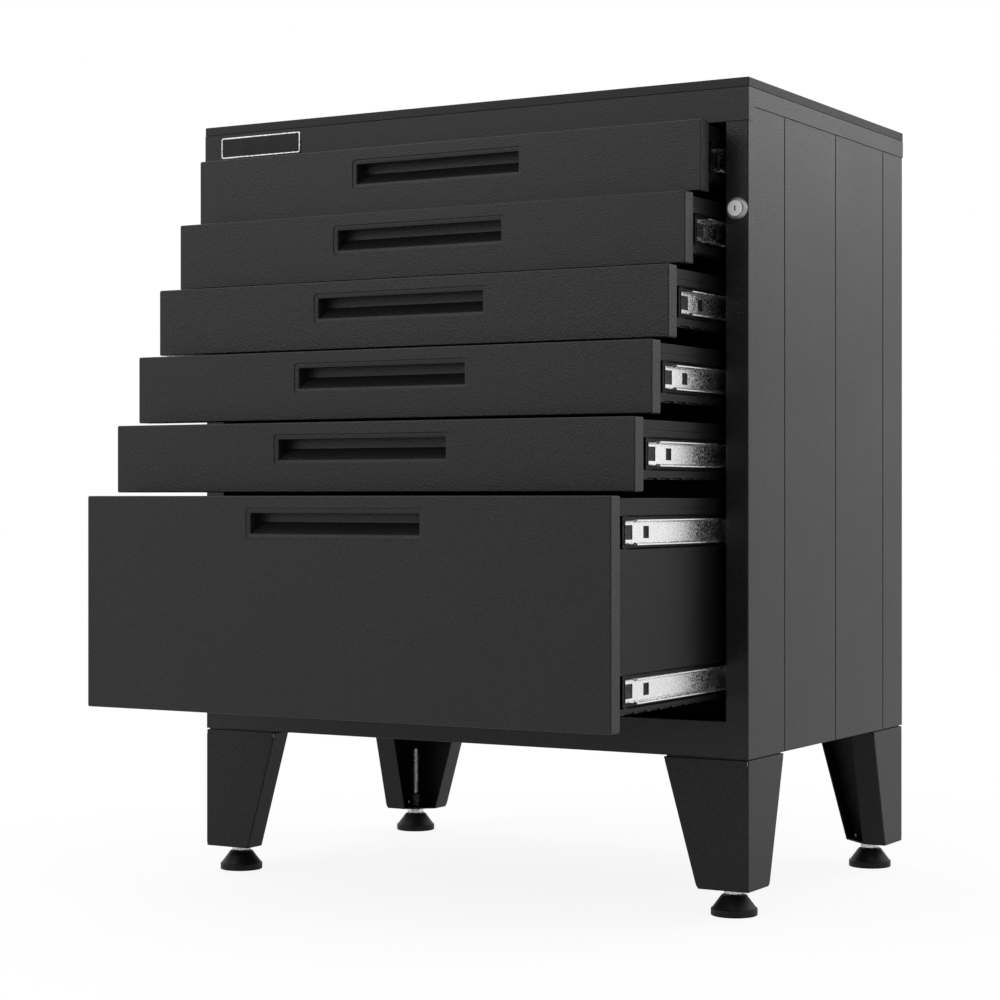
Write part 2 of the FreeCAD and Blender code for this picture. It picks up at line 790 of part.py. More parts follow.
def lock_bar(tops):
    """Flat bar behind the drawers with one finger for each and the slot for the crank."""
    strip = block(bar_inner, bar_outer, bar_front, bar_back, bar_low, bar_high)
    fingers = [block(bar_inner - finger_reach, bar_inner, bar_front, bar_back,
                     finger_foot(top), finger_foot(top) + finger_height) for top in tops]
    side = crank_throw / math.sqrt(2)
    reach = crank_pin_radius + crank_pin_clearance
    slot = block(lock_x + side - reach, lock_x + crank_throw + reach, bar_front, bar_back,
                 lock_z + side - reach, lock_z + side + reach)
    return joined(strip, *fingers).cut(slot)


def moved(shapes, distance):
    """The pieces pulled out of the cabinet by a distance."""
    shapes = shapes if isinstance(shapes, list) else [shapes]
    for shape in shapes:
        shape.translate(Vector(0, -distance, 0))
    return shapes


def collect_nodes():
    """All the pieces by node name, in the pose of the photo."""
    tops = []
    top = opening_top - front_top_gap
    for modules in drawer_modules:
        tops.append(top)
        top -= modules * module_pitch
    nodes = {
        "side_panel_right": side_panel(True),
        "side_panel_left": mirrored(side_panel(False)),
        "back_panel": back_panel(),
        "bottom_panel": bottom_panel(),
        "top_frame": top_frame(),
        "top_cover": top_cover(),
        "rear_upright_right": lock_upright(),
        "rear_upright_left": mirrored(rear_upright()),
        "lock_housing": lock_housing(),
        "lock_plug": lock_plug(),
        "lock_bar": lock_bar(tops),
        "foot_nuts": [foot_nut(x, y) for _, x, y in foot_places()],
    }
    for name, x, y in foot_places():
        nodes[f"leg_{name}"] = leg(1 if x > 0 else -1, 1 if y < cabinet_depth / 2 else -1)
        nodes[f"foot_pad_{name}"] = foot_pad(x, y)
        nodes[f"foot_stud_{name}"] = foot_stud(x, y)
    rows = zip(tops, drawer_modules, box_bottom_rises, drawer_open)
    for number, (top, modules, rise, out) in enumerate(rows, 1):
        centres = slide_heights(top, modules)
        fixed = [piece for z in centres for piece in cabinet_member(z)]
        inner = [piece for z in centres for piece in drawer_member(z)]
        cages = [piece for z in centres for piece in ball_cage(z)]
        nodes[f"slide_{number}_cabinet_members"] = fixed
        nodes[f"drawer_{number}_slide_members"] = moved(inner, out)
        nodes[f"drawer_{number}_ball_cages"] = moved(cages, out / 2)
        nodes[f"drawer_{number}_front"] = moved(drawer_front(top, modules), out)
        nodes[f"drawer_{number}_pull"] = moved(drawer_pull(top), out)
        nodes[f"drawer_{number}_box"] = moved(drawer_box(top, modules, rise), out)
    return nodes


def export(nodes):
    """Write one STEP file for each node, with the origin under the middle of the outline."""
    os.makedirs("parts", exist_ok=True)
    for name, shapes in nodes.items():
        shapes = shapes if isinstance(shapes, list) else [shapes]
        solids = [solid for shape in shapes for solid in shape.Solids]
        piece = solids[0] if len(solids) == 1 else Part.makeCompound(solids)
        if not piece.isValid():
            raise ValueError(f"{name} is not a valid solid")
        piece.translate(Vector(0, -outline_middle, 0))
        piece.exportStep(f"parts/{name}.step")


export(collect_nodes())
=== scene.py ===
"""Looks of a six-drawer tool cabinet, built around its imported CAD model.

Lengths are worked out in millimetres in the frame of the CAD model and put into the meshes in
metres.  Every piece is a surface over two parameters, or a profile carried along a line.
"""

import json
import math
from functools import cache

import bmesh
import bpy
import numpy as np
from bpy.props import FloatProperty, FloatVectorProperty, PointerProperty
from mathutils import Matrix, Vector


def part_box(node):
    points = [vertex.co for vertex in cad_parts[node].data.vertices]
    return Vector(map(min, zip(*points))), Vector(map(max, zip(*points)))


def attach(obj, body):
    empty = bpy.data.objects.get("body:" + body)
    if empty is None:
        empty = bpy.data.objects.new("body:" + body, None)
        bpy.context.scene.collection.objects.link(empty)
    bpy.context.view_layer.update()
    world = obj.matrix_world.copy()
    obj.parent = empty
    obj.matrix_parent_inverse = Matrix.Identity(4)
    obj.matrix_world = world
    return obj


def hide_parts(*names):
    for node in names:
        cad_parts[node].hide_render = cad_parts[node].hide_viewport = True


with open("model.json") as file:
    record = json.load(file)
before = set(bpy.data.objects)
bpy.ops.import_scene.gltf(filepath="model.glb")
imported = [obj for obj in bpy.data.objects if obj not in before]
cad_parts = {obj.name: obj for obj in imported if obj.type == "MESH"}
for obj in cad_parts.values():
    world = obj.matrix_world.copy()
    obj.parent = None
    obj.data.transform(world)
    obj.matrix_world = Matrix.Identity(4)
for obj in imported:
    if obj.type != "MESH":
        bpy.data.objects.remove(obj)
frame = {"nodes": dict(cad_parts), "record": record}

bl_info = {
    "name": "Tool cabinet",
    "version": (1, 0, 0),
    "blender": (4, 5, 0),
    "location": "3D View > Sidebar > Tool cabinet",
    "description": "Sheet-metal tool cabinet with drawers, slides, lock and levelling feet",
    "category": "Mesh",
}

MM = 0.001
DRAWERS = range(1, 7)
FEET = ("front_left", "front_right", "rear_left", "rear_right")
BODY_OF = {node: body for body, nodes in frame["record"]["behaviour"]["bodies"].items()
           for node in nodes}


def corners(node):
    """Lowest and highest corner of a CAD node in millimetres."""
    return [np.array(corner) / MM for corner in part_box(node)]


POST_FRONT, BODY_FOOT = corners("bottom_panel")[0][1:]
POST_INNER = corners("slide_1_cabinet_members")[1][0]

BEND_STEPS = 4
STRAIGHT = 1e-6


def left(vectors):
    """Vectors of a plane after a quarter turn to the left."""
    return np.stack([-vectors[..., 1], vectors[..., 0]], -1)


def folded(path, thickness, radius):
    """Both faces of a folded sheet, as two lines with the same number of points.

    The near face follows the path and its corners are arcs: centre plus radius times the
    turning normal.  The far face is the near one plus the thickness times the left normal.
    radius is the inner radius, one for all corners or one for each.
    """
    path = np.asarray(path, float)
    runs = np.diff(path, axis=0)
    runs /= np.linalg.norm(runs, axis=1)[:, None]
    near, heading = [path[:1]], [runs[:1]]
    radii = np.broadcast_to(radius, len(path) - 2)
    for corner, before, after, inner in zip(path[1:-1], runs, runs[1:], radii):
        turn = math.atan2(before[0] * after[1] - before[1] * after[0], before @ after)
        if abs(turn) < STRAIGHT:
            near.append(corner[None])
            heading.append(before[None])
            continue
        side = math.copysign(1.0, turn)
        size = inner + (thickness if side > 0 else 0.0)
        angle = np.linspace(0, turn, BEND_STEPS + 1)[:, None]
        ahead = np.cos(angle) * before + np.sin(angle) * left(before)
        start = corner - size * abs(math.tan(turn / 2)) * before
        centre = start + side * size * left(before)
        near.append(centre - side * size * left(ahead))
        heading.append(ahead)
    near = np.concatenate(near + [path[-1:]])
    return near, near + thickness * left(np.concatenate(heading + [runs[-1:]]))


AXES = {"x": (1, 2, 0), "y": (0, 2, 1), "z": (0, 1, 2)}


def carried(profile, stations, axis):
    """Profile carried along an axis: point u of the profile at station v."""
    first, second, along = AXES[axis]
    grid = np.empty((len(profile), len(stations), 3))
    grid[..., first] = profile[:, None, 0]
    grid[..., second] = profile[:, None, 1]
    grid[..., along] = stations
    return grid


def sheet(near, far, keep=None):
    """Closed sheet between two grids of points.

    keep says which cells of the grid are metal.  Each of them has a near and a far face, and
    a wall on every edge where the next cell is missing.
    """
    rows, columns = near.shape[:2]
    if keep is None:
        keep = np.ones((rows - 1, columns - 1), bool)
    index = np.arange(rows * columns).reshape(rows, columns)
    under = rows * columns
    ring = [index[:-1, :-1], index[1:, :-1], index[1:, 1:], index[:-1, 1:]]
    faces = [np.stack([r[keep] for r in ring], -1)]
    faces.append(faces[0][:, ::-1] + under)
    padded = np.pad(keep, 1)
    beside = [padded[1:-1, :-2], padded[2:, 1:-1], padded[1:-1, 2:], padded[:-2, 1:-1]]
    for a, b, neighbour in zip(ring, ring[1:] + ring[:1], beside):
        edge = keep & ~neighbour
        faces.append(np.stack([b[edge], a[edge], a[edge] + under, b[edge] + under], -1))
    points = np.concatenate([near.reshape(-1, 3), far.reshape(-1, 3)])
    used, faces = np.unique(np.concatenate(faces), return_inverse=True)
    return points[used], faces.reshape(-1, 4), []


def folded_sheet(path, thickness, radius, stations, axis, metal=None):
    """Folded sheet carried along an axis.

    metal(u, v, w) tells from the middle of each cell, two coordinates in the profile and one
    along the axis, whether the cell is metal.
    """
    near, far = folded(path, thickness, radius)
    stations = np.asarray(stations, float)
    keep = None
    if metal:
        middle = (near[1:] + near[:-1] + far[1:] + far[:-1]) / 4
        along = (stations[1:] + stations[:-1]) / 2
        keep = np.broadcast_to(
            metal(middle[:, :1], middle[:, 1:], along[None]), (len(middle), len(along)))
    return sheet(carried(near, stations, axis), carried(far, stations, axis), keep)


def tube(rings, closed=False):
    """Surface over rings of points, capped at both ends or closed on itself."""
    count, around = rings.shape[:2]
    index = np.arange(count * around).reshape(count, around)
    if closed:
        index = np.vstack([index, index[:1]])
    after = np.roll(index, -1, axis=1)
    quads = np.stack([index[:-1], after[:-1], after[1:], index[1:]], -1).reshape(-1, 4)
    caps = [] if closed else [index[0, ::-1].tolist(), index[-1].tolist()]
    return rings.reshape(-1, 3), quads, caps


def prism(outline, low, high, axis):
    """Closed outline carried straight from one station to another."""
    return tube(carried(np.asarray(outline, float), [low, high], axis).swapaxes(0, 1))


def stepped(half, rows):
    """Rows of round_loops from a half size and rows of inset, corner radius and depth."""
    return [(half[0] - inset, half[1] - inset, radius, depth) for inset, radius, depth in rows]


def round_loops(centre, rows, steps=5):
    """Rounded rectangles around a centre as rings.

    A row holds half width, half height, corner radius and depth.  A point is the centre of
    its corner plus the radius times the direction of its angle.
    """
    a, b, r, depth = np.array(rows, float).T[..., None, None]
    angle = np.pi / 2 * (np.arange(4)[:, None] + np.linspace(0, 1, steps + 1))
    x = np.array([1, -1, -1, 1])[:, None] * (a - r) + r * np.cos(angle)
    z = np.array([1, 1, -1, -1])[:, None] * (b - r) + r * np.sin(angle)
    return np.stack([x, depth + 0 * x, z], -1).reshape(len(rows), -1, 3) + centre


def turned(profile, centre, sides, axis=2, ripple=None, closed=False):
    """Surface of revolution: radius and height of the profile turned about an axis.

    ripple(radius, height, angle) may change the radius over the surface.
    """
    radius, height = np.asarray(profile, float).T[..., None]
    angle = np.linspace(0, 2 * np.pi, sides, endpoint=False)[None]
    radius = radius + 0 * angle
    if ripple:
        radius = ripple(radius, height, angle)
    rings = np.empty(radius.shape + (3,))
    across, up = [k for k in range(3) if k != axis]
    rings[..., across] = radius * np.cos(angle)
    rings[..., up] = radius * np.sin(angle)
    rings[..., axis] = height
    return tube(rings + np.asarray(centre, float), closed)


def arc(radius, steps=4):
    """Setback and depth of the points of a rounded edge, from its side to its face."""
    turn = np.linspace(0, np.pi / 2, steps + 1)
    return list(zip(radius * (1 - np.cos(turn)), radius * (1 - np.sin(turn))))


def mirrored(shell):
    """The same shell on the other side of the cabinet."""
    points, quads, caps = shell
    return points * (-1, 1, 1), quads[:, ::-1], [cap[::-1] for cap in caps]


def both(shells):
    """Shells and their mirror images."""
    return shells + [mirrored(shell) for shell in shells]


def linked(name, data):
    """Object of a mesh, camera or lamp in the scene."""
    item = bpy.data.objects.new(name, data)
    bpy.context.scene.collection.objects.link(item)
    return item


def add_piece(name, mesh, node, slot, coat, replaces=True, ease=0.0, sharp=38):
    """Object of a finished mesh with eased edges and even shading.

    It rides on the body of a CAD node, which it replaces unless it only adds to it.
    """
    mesh.polygons.foreach_set("use_smooth", np.ones(len(mesh.polygons), bool))
    mesh.set_sharp_from_angle(angle=math.radians(sharp))
    mesh.materials.clear()
    mesh.materials.append(finish(coat))
    piece = linked(name, mesh)
    if ease:
        bevel = piece.modifiers.new("eased edges", "BEVEL")
        bevel.width = ease * MM
        bevel.segments = 2
        bevel.limit_method = "ANGLE"
        bevel.angle_limit = math.radians(sharp)
    normals = piece.modifiers.new("even shading", "WEIGHTED_NORMAL")
    normals.keep_sharp = True
    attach(piece, BODY_OF[node])
    if replaces:
        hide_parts(node)


def mesh_of(name, shells):
    """Mesh of one or more closed shells, in metres, with its faces outward."""
    points, faces, start = [], [], 0
    for shell_points, quads, caps in shells:
        points.append(shell_points)
        faces += (quads + start).tolist()
        faces += [[start + k for k in cap] for cap in caps]
        start += len(shell_points)
    mesh = bpy.data.meshes.new(name)
    mesh.from_pydata((np.concatenate(points) * MM).tolist(), [], faces)
    tidy = bmesh.new()
    tidy.from_mesh(mesh)
    bmesh.ops.dissolve_degenerate(tidy, edges=tidy.edges, dist=1e-7)
    bmesh.ops.recalc_face_normals(tidy, faces=tidy.faces)
    tidy.to_mesh(mesh)
    tidy.free()
    return mesh


def new_piece(name, shells, node, slot, coat, **options):
    """Piece made of computed shells."""
    add_piece(name, mesh_of(name, shells), node, slot, coat, **options)


def eased_piece(node, slot, coat, ease=0.3, lowered=None):
    """Piece with the form of a CAD node: its triangles are merged and its edges eased.

    lowered is a height and how far the points above it come down.
    """
    mesh = frame["nodes"][node].data.copy()
    merged = bmesh.new()
    merged.from_mesh(mesh)
    bmesh.ops.remove_doubles(merged, verts=merged.verts, dist=2e-6)
    bmesh.ops.dissolve_limit(merged, angle_limit=math.radians(1), verts=merged.verts,
                             edges=merged.edges)
    for point in merged.verts if lowered else ():
        if point.co.z > lowered[0] * MM:
            point.co.z -= lowered[1] * MM
    merged.to_mesh(mesh)
    merged.free()
    add_piece(f"eased_{node}", mesh, node, slot, coat, ease=ease)


class Value:
    """Output of a shader node that Python's operators turn into Math nodes."""

    def __init__(self, tree, socket):
        self.tree = tree
        self.socket = socket

    def math(self, operation, other):
        """Math node fed by this value and another."""
        return self.tree.add("ShaderNodeMath", {0: self, 1: other}, operation=operation)

    def __add__(self, other):
        return self.math("ADD", other)

    def __mul__(self, other):
        return self.math("MULTIPLY", other)

    __radd__ = __add__
    __rmul__ = __mul__


class Tree:
    """Node tree of a material or world, built by one method for any node."""

    def __init__(self, owner):
        owner.use_nodes = True
        self.nodes = owner.node_tree.nodes
        self.links = owner.node_tree.links

    def feed(self, node, values):
        """Sets sockets of a node to constants or links them to values."""
        for name, value in values.items():
            if isinstance(value, Value):
                self.links.new(value.socket, node.inputs[name])
            else:
                node.inputs[name].default_value = value

    def add(self, kind, inputs=None, out=0, **settings):
        """Any node: its settings first, then the values or links of its sockets."""
        node = self.nodes.new(kind)
        for name, value in settings.items():
            setattr(node, name, value)
        self.feed(node, inputs or {})
        return Value(self, node.outputs[out])

    def show(self, camera_share, mirror_share, lit, seen, output):
        """Feeds an output with a lit shader and the shares of a plainly seen one.

        The first share is for the rays of the camera, the second for reflections and glass.
        """
        camera, glossy, glass = (self.add("ShaderNodeLightPath", out=f"Is {ray} Ray")
                                 for ray in ("Camera", "Glossy", "Transmission"))
        share = camera * camera_share + (glossy + glass) * mirror_share
        self.feed(self.nodes[output],
                  {"Surface": self.add("ShaderNodeMixShader", {0: share, 1: lit, 2: seen})})


class Finish(Tree):
    """Material with a Principled shader."""

    def __init__(self, name, **sockets):
        self.material = bpy.data.materials.new(name)
        super().__init__(self.material)
        self.set(**sockets)

    def set(self, **sockets):
        """Feeds the shader's own sockets and gives the material."""
        self.feed(self.nodes["Principled BSDF"],
                  {name.replace("_", " "): value for name, value in sockets.items()})
        return self.material

    def noise(self, scale, detail=2.0, stretch=(1, 1, 1), roughness=0.5):
        """Noise of a number of bumps to the metre, stretched along the axes."""
        place = self.add("ShaderNodeMapping", {
            "Vector": self.add("ShaderNodeTexCoord", out="Object"), "Scale": stretch})
        return self.add("ShaderNodeTexNoise", {
            "Vector": place, "Scale": scale, "Detail": detail, "Roughness": roughness})

    def between(self, low, high, share):
        """Colour mixed from two colours by a share from 0 to 1."""
        return self.add("ShaderNodeMix", {"Factor": share, "A": (*low, 1), "B": (*high, 1)},
                        out="Result", data_type="RGBA")

    def shades(self, name, low, high, share):
        """Colour between two multiples of one of the cabinet's colours."""
        colour = getattr(bpy.context.scene.cabinet_colours, name)
        return self.between([low * c for c in colour], [high * c for c in colour], share)

    def span(self, value, low, high, to_low=0.0, to_high=1.0):
        """Value carried from one range to another and held at its ends."""
        return self.add("ShaderNodeMapRange", {
            "Value": value, "From Min": low, "From Max": high,
            "To Min": to_low, "To Max": to_high})

    def bump(self, height, strength, depth):
        """Normal of a height field of a depth in metres."""
        return self.add("ShaderNodeBump", {
            "Height": height, "Strength": strength, "Distance": depth})


def powder(name, colour, roughness, level, relief):
    """Baked powder coat: orange peel in two sizes, with duller and darker specks."""
    coat = Finish(name, Specular_IOR_Level=level)
    peel = coat.noise(480.0, roughness=0.6)
    grain = coat.noise(680.0, detail=1.0)
    cloud = coat.noise(9.0, detail=4.0)
    speck = coat.span(grain, 0.35, 0.65)
    return coat.set(
        Base_Color=coat.shades(colour, 0.45, 1.6, speck * 0.75 + cloud * 0.25),
        Roughness=coat.span(cloud * 0.5 + peel * 0.5, 0.3, 0.7,
                            roughness - 0.035, roughness + 0.035),
        Normal=coat.bump(peel * 0.2 + grain * 0.8, relief, 0.0006))


def zinc(name):
    """Galvanised strip: fine bright sparkle, with streaks along its length."""
    plate = Finish(name, Metallic=1.0)
    spark = plate.span(plate.noise(520.0, detail=3.0, roughness=0.7), 0.3, 0.7)
    streak = plate.noise(420.0, stretch=(1, 0.06, 1))
    return plate.set(
        Base_Color=plate.shades("zinc", 0.93, 1.0, spark * 0.6 + streak * 0.6),
        Roughness=plate.span(spark, 0.2, 0.8, 0.4, 0.05),
        Normal=plate.bump(spark * 0.85 + streak * 0.15, 1.0, 0.0001))


def thread_zinc(name):
    """Zinc plate of the screws: clouded, a little duller than the strip."""
    plate = Finish(name, Metallic=1.0)
    cloud = plate.noise(260.0, detail=4.0)
    return plate.set(
        Base_Color=plate.shades("zinc", 0.55, 1.0, plate.span(cloud, 0.3, 0.7)),
        Roughness=plate.span(cloud, 0.3, 0.7, 0.24, 0.4),
        Normal=plate.bump(plate.noise(1500.0), 0.15, 0.0001))


def chrome(name):
    """Bright plated die casting with faint turning marks."""
    plate = Finish(name, Metallic=1.0)
    mark = plate.noise(900.0)
    return plate.set(
        Base_Color=plate.shades("chrome", 0.8, 1.0, mark),
        Roughness=plate.span(mark, 0.3, 0.7, 0.34, 0.46),
        Normal=plate.bump(mark, 0.08, 0.0001))


def nickel(name):
    """Satin nickel under a clear lacquer, with a fine blasted grain."""
    plate = Finish(name, Metallic=0.7)
    grain = plate.noise(700.0)
    return plate.set(
        Base_Color=plate.between((0.94, 0.94, 0.94), (1.0, 1.0, 1.0), grain),
        Roughness=plate.span(grain, 0.3, 0.7, 0.58, 0.7),
        Normal=plate.bump(grain, 0.4, 0.0002))


def dark_steel(name):
    """Phosphated steel: matt dark grey with small clouds."""
    plate = Finish(name, Metallic=1.0)
    cloud = plate.noise(480.0, detail=4.0)
    return plate.set(
        Base_Color=plate.between((0.008, 0.008, 0.0085), (0.09, 0.09, 0.092),
                                 plate.span(cloud, 0.36, 0.64)),
        Roughness=plate.span(cloud, 0.3, 0.7, 0.4, 0.6),
        Normal=plate.bump(plate.noise(1100.0), 0.4, 0.0002))


def moulded(name):
    """Moulded black plastic with a fine spark-eroded grain."""
    grip = Finish(name, Specular_IOR_Level=0.26)
    grain = grip.noise(1500.0)
    cloud = grip.noise(60.0, detail=3.0)
    return grip.set(
        Base_Color=grip.shades("glide", 0.7, 1.4, grain * 0.6 + cloud * 0.4),
        Roughness=grip.span(cloud, 0.3, 0.7, 0.4, 0.52),
        Normal=grip.bump(grain, 0.25, 0.0001))


FINISHES = {
    "carcase_powder_coat": (powder, "carcase", 0.34, 0.3, 0.65),
    "cover_coat": (powder, "carcase", 0.5, 0.3, 0.8),
    "front_powder_coat": (powder, "fronts", 0.34, 0.33, 1.0),
    "inner_powder_coat": (powder, "inner", 0.42, 0.16, 0.3),
    "leg_powder_coat": (powder, "legs", 0.36, 0.23, 0.8),
    "galvanised_strip": (zinc,),
    "screw_zinc": (thread_zinc,),
    "lock_chrome": (chrome,),
    "satin_nickel": (nickel,),
    "phosphated_steel": (dark_steel,),
    "glide_plastic": (moulded,),
}


@cache
def finish(name):
    """Material of a name, made on its first use."""
    maker, *values = FINISHES[name]
    return maker(name, *values)


def length(name, description, default):
    """Property of a length in metres, with a default in millimetres."""
    return FloatProperty(name=name, description=description, default=default * MM,
                         min=0.0, unit="LENGTH")


def tint(name, description, default):
    """Property of a linear colour."""
    return FloatVectorProperty(name=name, description=description, default=default,
                               subtype="COLOR", size=3, min=0.0, max=1.0)


class CabinetSizes(bpy.types.PropertyGroup):
    """Sizes that only the looks have."""

    front_edge: length("Front edge", "Rounding of the edges of a drawer front", 1.3)
    front_corner: length("Front corner", "Rounding of the corners of a drawer front", 1.8)
    slot_lip: length("Slot lip", "Rounding of the rolled lip of the pull slot", 1.1)
    bend: length("Bend", "Inner radius of the bends of the drawer boxes", 0.6)
    vent_length: length("Slot length", "Length of a slot low in the drawer side", 22.0)
    vent_pitch: length("Slot pitch", "Distance of the slots low in the drawer side", 29.0)
    vent_start: length("Slot start", "First slot behind the face of the front", 38.8)
    thread_pitch: length("Thread pitch", "Pitch of the thread of the levelling screws", 1.5)
    thread_depth: length("Thread depth", "Depth of the thread of the levelling screws", 0.5)
    leg_bend: length("Leg bend", "Inner radius of the bends of the legs", 0.1)
    ball_pitch: length("Ball pitch", "Distance of the balls in a cage", 11.5)


class CabinetColours(bpy.types.PropertyGroup):
    """Colours of the finishes."""

    carcase: tint("Carcase", "Powder coat of the carcase", (0.0105, 0.0105, 0.0107))
    fronts: tint("Fronts", "Powder coat of the drawer fronts", (0.011, 0.011, 0.0112))
    inner: tint("Drawers", "Powder coat of the drawer boxes", (0.0045, 0.0045, 0.0046))
    legs: tint("Legs", "Powder coat of the legs", (0.013, 0.013, 0.0132))
    zinc: tint("Zinc", "Plating of the slides and screws", (1.0, 1.0, 1.0))
    chrome: tint("Chrome", "Plating of the lock", (0.38, 0.38, 0.384))
    glide: tint("Glides", "Plastic of the feet", (0.005, 0.005, 0.0051))


def mm(name):
    """A size of the looks in millimetres."""
    return getattr(bpy.context.scene.cabinet_sizes, name) / MM


class PieceOperator(bpy.types.Operator):
    """Base of the operators that make pieces."""

    bl_options = {"UNDO"}

    def execute(self, context):
        self.build()
        return {"FINISHED"}


SHEET = 1.0
POST_RETURN = 48.0
POST_EDGE = 2.5
POST_BENDS = (0.05, 0.3)
REAR_FLANGE = 15.0
REAR_BEND = 0.2
GROOVES = (96.7, 243.3, 392.6)
GROOVE_HALF = 1.25
GROOVE_DEPTH = 2.2
GROOVE_STOP = 21.0
GROOVE_FADE = 4.0


def side_panel():
    """Right side sheet: its profile carried up, without the post above the opening.

    A pressed line lies deeper than the sheet by its depth times the share of the fading
    length below the band.
    """
    low, high = corners("side_panel_right")
    outer, opening = high[0], corners("rear_upright_right")[1][2]
    band = high[2] - GROOVE_STOP
    path = [(POST_INNER, POST_FRONT + POST_RETURN), (POST_INNER, POST_FRONT),
            (outer, POST_FRONT)]
    for place in GROOVES:
        path += [(outer, POST_FRONT + place + step) for step in (-GROOVE_HALF, 0, GROOVE_HALF)]
    path += [(outer, high[1]), (outer - REAR_FLANGE, high[1])]
    levels = np.array([low[2], low[2] + SHEET, opening, band - GROOVE_FADE, band, high[2]])
    near, far = (carried(face, levels, "z") for face in
                 folded(path, SHEET, (*POST_BENDS, *[0] * 3 * len(GROOVES), REAR_BEND)))
    depth = np.clip((band - levels) / GROOVE_FADE, 0, 1) * GROOVE_DEPTH
    for place in GROOVES:
        at = np.isclose(near[:, 0, 1], POST_FRONT + place)
        near[at, :, 0] -= depth
        far[at, :, 0] -= depth
    middle = (near[1:, :1] + near[:-1, :1]) / 2
    is_post = (middle[..., 0] < outer - POST_EDGE) & (middle[..., 1] < POST_FRONT + POST_RETURN)
    above = (levels[1:] + levels[:-1]) / 2 > opening
    return sheet(near, far, ~(is_post & above[None]))


SILL_RETURN = 15.0
SILL_HEIGHT = 39.5
SILL_GAP = 0.2
POST_CLEARANCE = 1.0
FLOOR_BENDS = (0.3, 0.3, 0, 0.5)


def floor_pan():
    """Floor of the carcase: the section of sill, floor and rear flange carried across.

    The sill fills the rounding of the post edges, so that its face runs on into theirs, and
    the floor runs on behind the posts.
    """
    (start, _, floor), (end, _, _) = corners("bottom_panel")
    sill = POST_INNER + SHEET + SILL_GAP
    behind = POST_FRONT + POST_RETURN + POST_CLEARANCE
    rear = corners("back_panel")[0][1]
    path = [(POST_FRONT + SILL_RETURN, floor + SILL_HEIGHT), (POST_FRONT, floor + SILL_HEIGHT),
            (POST_FRONT, floor), (behind, floor), (rear, floor), (rear, floor + REAR_FLANGE)]
    return folded_sheet(path, SHEET, FLOOR_BENDS, [start, -sill, sill, end], "x",
                        lambda y, z, x: (y > behind) | (abs(x) < sill))


COVER_LAP = 2.3
COVER_EDGE = 1.2
COVER_CORNER = 1.4
# Inset, corner radius and rise of the outlines of the underside.
COVER_FOOT = ((1.2, 0.6, 0.02), (1.2, 0.6, 0.35), (0.3, 0.9, 0.35), (0.0, 1.2, 0.65))


class CABINET_OT_carcase(PieceOperator):
    """Side sheets with their posts and pressed lines, floor, back, top pan and uprights"""

    bl_idname = "cabinet.carcase"
    bl_label = "Carcase"

    def build(self):
        coat = "carcase_powder_coat"
        side = side_panel()
        for name, shell in (("right", side), ("left", mirrored(side))):
            new_piece(f"side_sheet_{name}", [shell], f"side_panel_{name}", "cabinet_sides",
                      coat)
        new_piece("floor_pan", [floor_pan()], "bottom_panel", "cabinet", coat)
        for node in ("back_panel", "rear_upright_left", "rear_upright_right"):
            eased_piece(node, "cabinet", coat)
        eased_piece("top_frame", "cabinet", coat,
                    lowered=(corners("top_frame")[1][2] - 2 * SHEET, COVER_LAP))


class CABINET_OT_cover(PieceOperator):
    """Cover board: rounded outlines stacked from its underside to its top"""

    bl_idname = "cabinet.cover"
    bl_label = "Cover"

    def build(self):
        low, high = corners("top_cover")
        rows = [(inset, radius, low[2] - COVER_LAP + rise) for inset, radius, rise in COVER_FOOT]
        rows += [(back, COVER_CORNER - min(back, 1.0), high[2] - drop)
                 for back, drop in arc(COVER_EDGE)]
        rings = round_loops((0, 0, (low[1] + high[1]) / 2), stepped((high - low) / 2, rows))
        new_piece("cover_board", [tube(rings[..., [0, 2, 1]])], "top_cover", "cover",
                  "cover_coat")


PLATE_PLACE = (-274.5, 866.0)
PLATE_HALF = (57.0, 12.4)
# Inset, corner radius and depth of the outlines.
PLATE_RIM = ((0.0, 2.5, 0.0), (0.0, 2.5, -1.1), (0.4, 2.1, -1.5), (1.4, 1.4, -1.5),
             (1.8, 1.2, -1.1), (1.8, 1.2, 0.0))
PLATE_FIELD = ((1.75, 1.2, 0.0), (1.75, 1.2, -0.75), (2.1, 1.0, -0.9))


class CABINET_OT_badge(PieceOperator):
    """Blank plate on the header: a raised rim around a lower field, both rounded outlines"""

    bl_idname = "cabinet.badge"
    bl_label = "Blank plate"

    def build(self):
        x, z = PLATE_PLACE
        centre = x, corners("top_frame")[0][1], z
        rim, field = (round_loops(centre, stepped(PLATE_HALF, rows))
                      for rows in (PLATE_RIM, PLATE_FIELD))
        new_piece("plate_rim", [tube(rim, closed=True)], "top_frame", "cabinet", "screw_zinc",
                  replaces=False)
        new_piece("plate_field", [tube(field)], "top_frame", "cabinet", "glide_plastic",
                  replaces=False)


FRONT_SHEET = 1.0
INNER_CORNER = 0.8
BACK_LIP = 7.0
BACK_CORNER = 0.5
BACK_EDGE = 0.9
EDGE_STEPS = 5
SLOT_HALF = np.array([105.3, 11.0])
SLOT_CORNER = 0.6
SLOT_DROP = 29.4
BEZEL_MARGIN = 5.5
LIP_DEPTH = 1.25
# Inset from the bezel, corner radius and depth, before and after the lip of the slot.
BEZEL_ROWS = ((-0.35, 4.2, 0.0), (-0.1, 4.0, 0.1), (0.0, 3.9, 0.35), (0.25, 3.7, 1.0),
              (3.2, 2.0, 1.0), (3.5, 1.8, LIP_DEPTH))
SLOT_ROWS = ((5.5, 0.6, 3.4), (4.6, 1.2, 3.4), (4.1, 1.6, 2.3), (-0.9, 4.0, 2.0),
             (-0.9, 4.0, FRONT_SHEET))


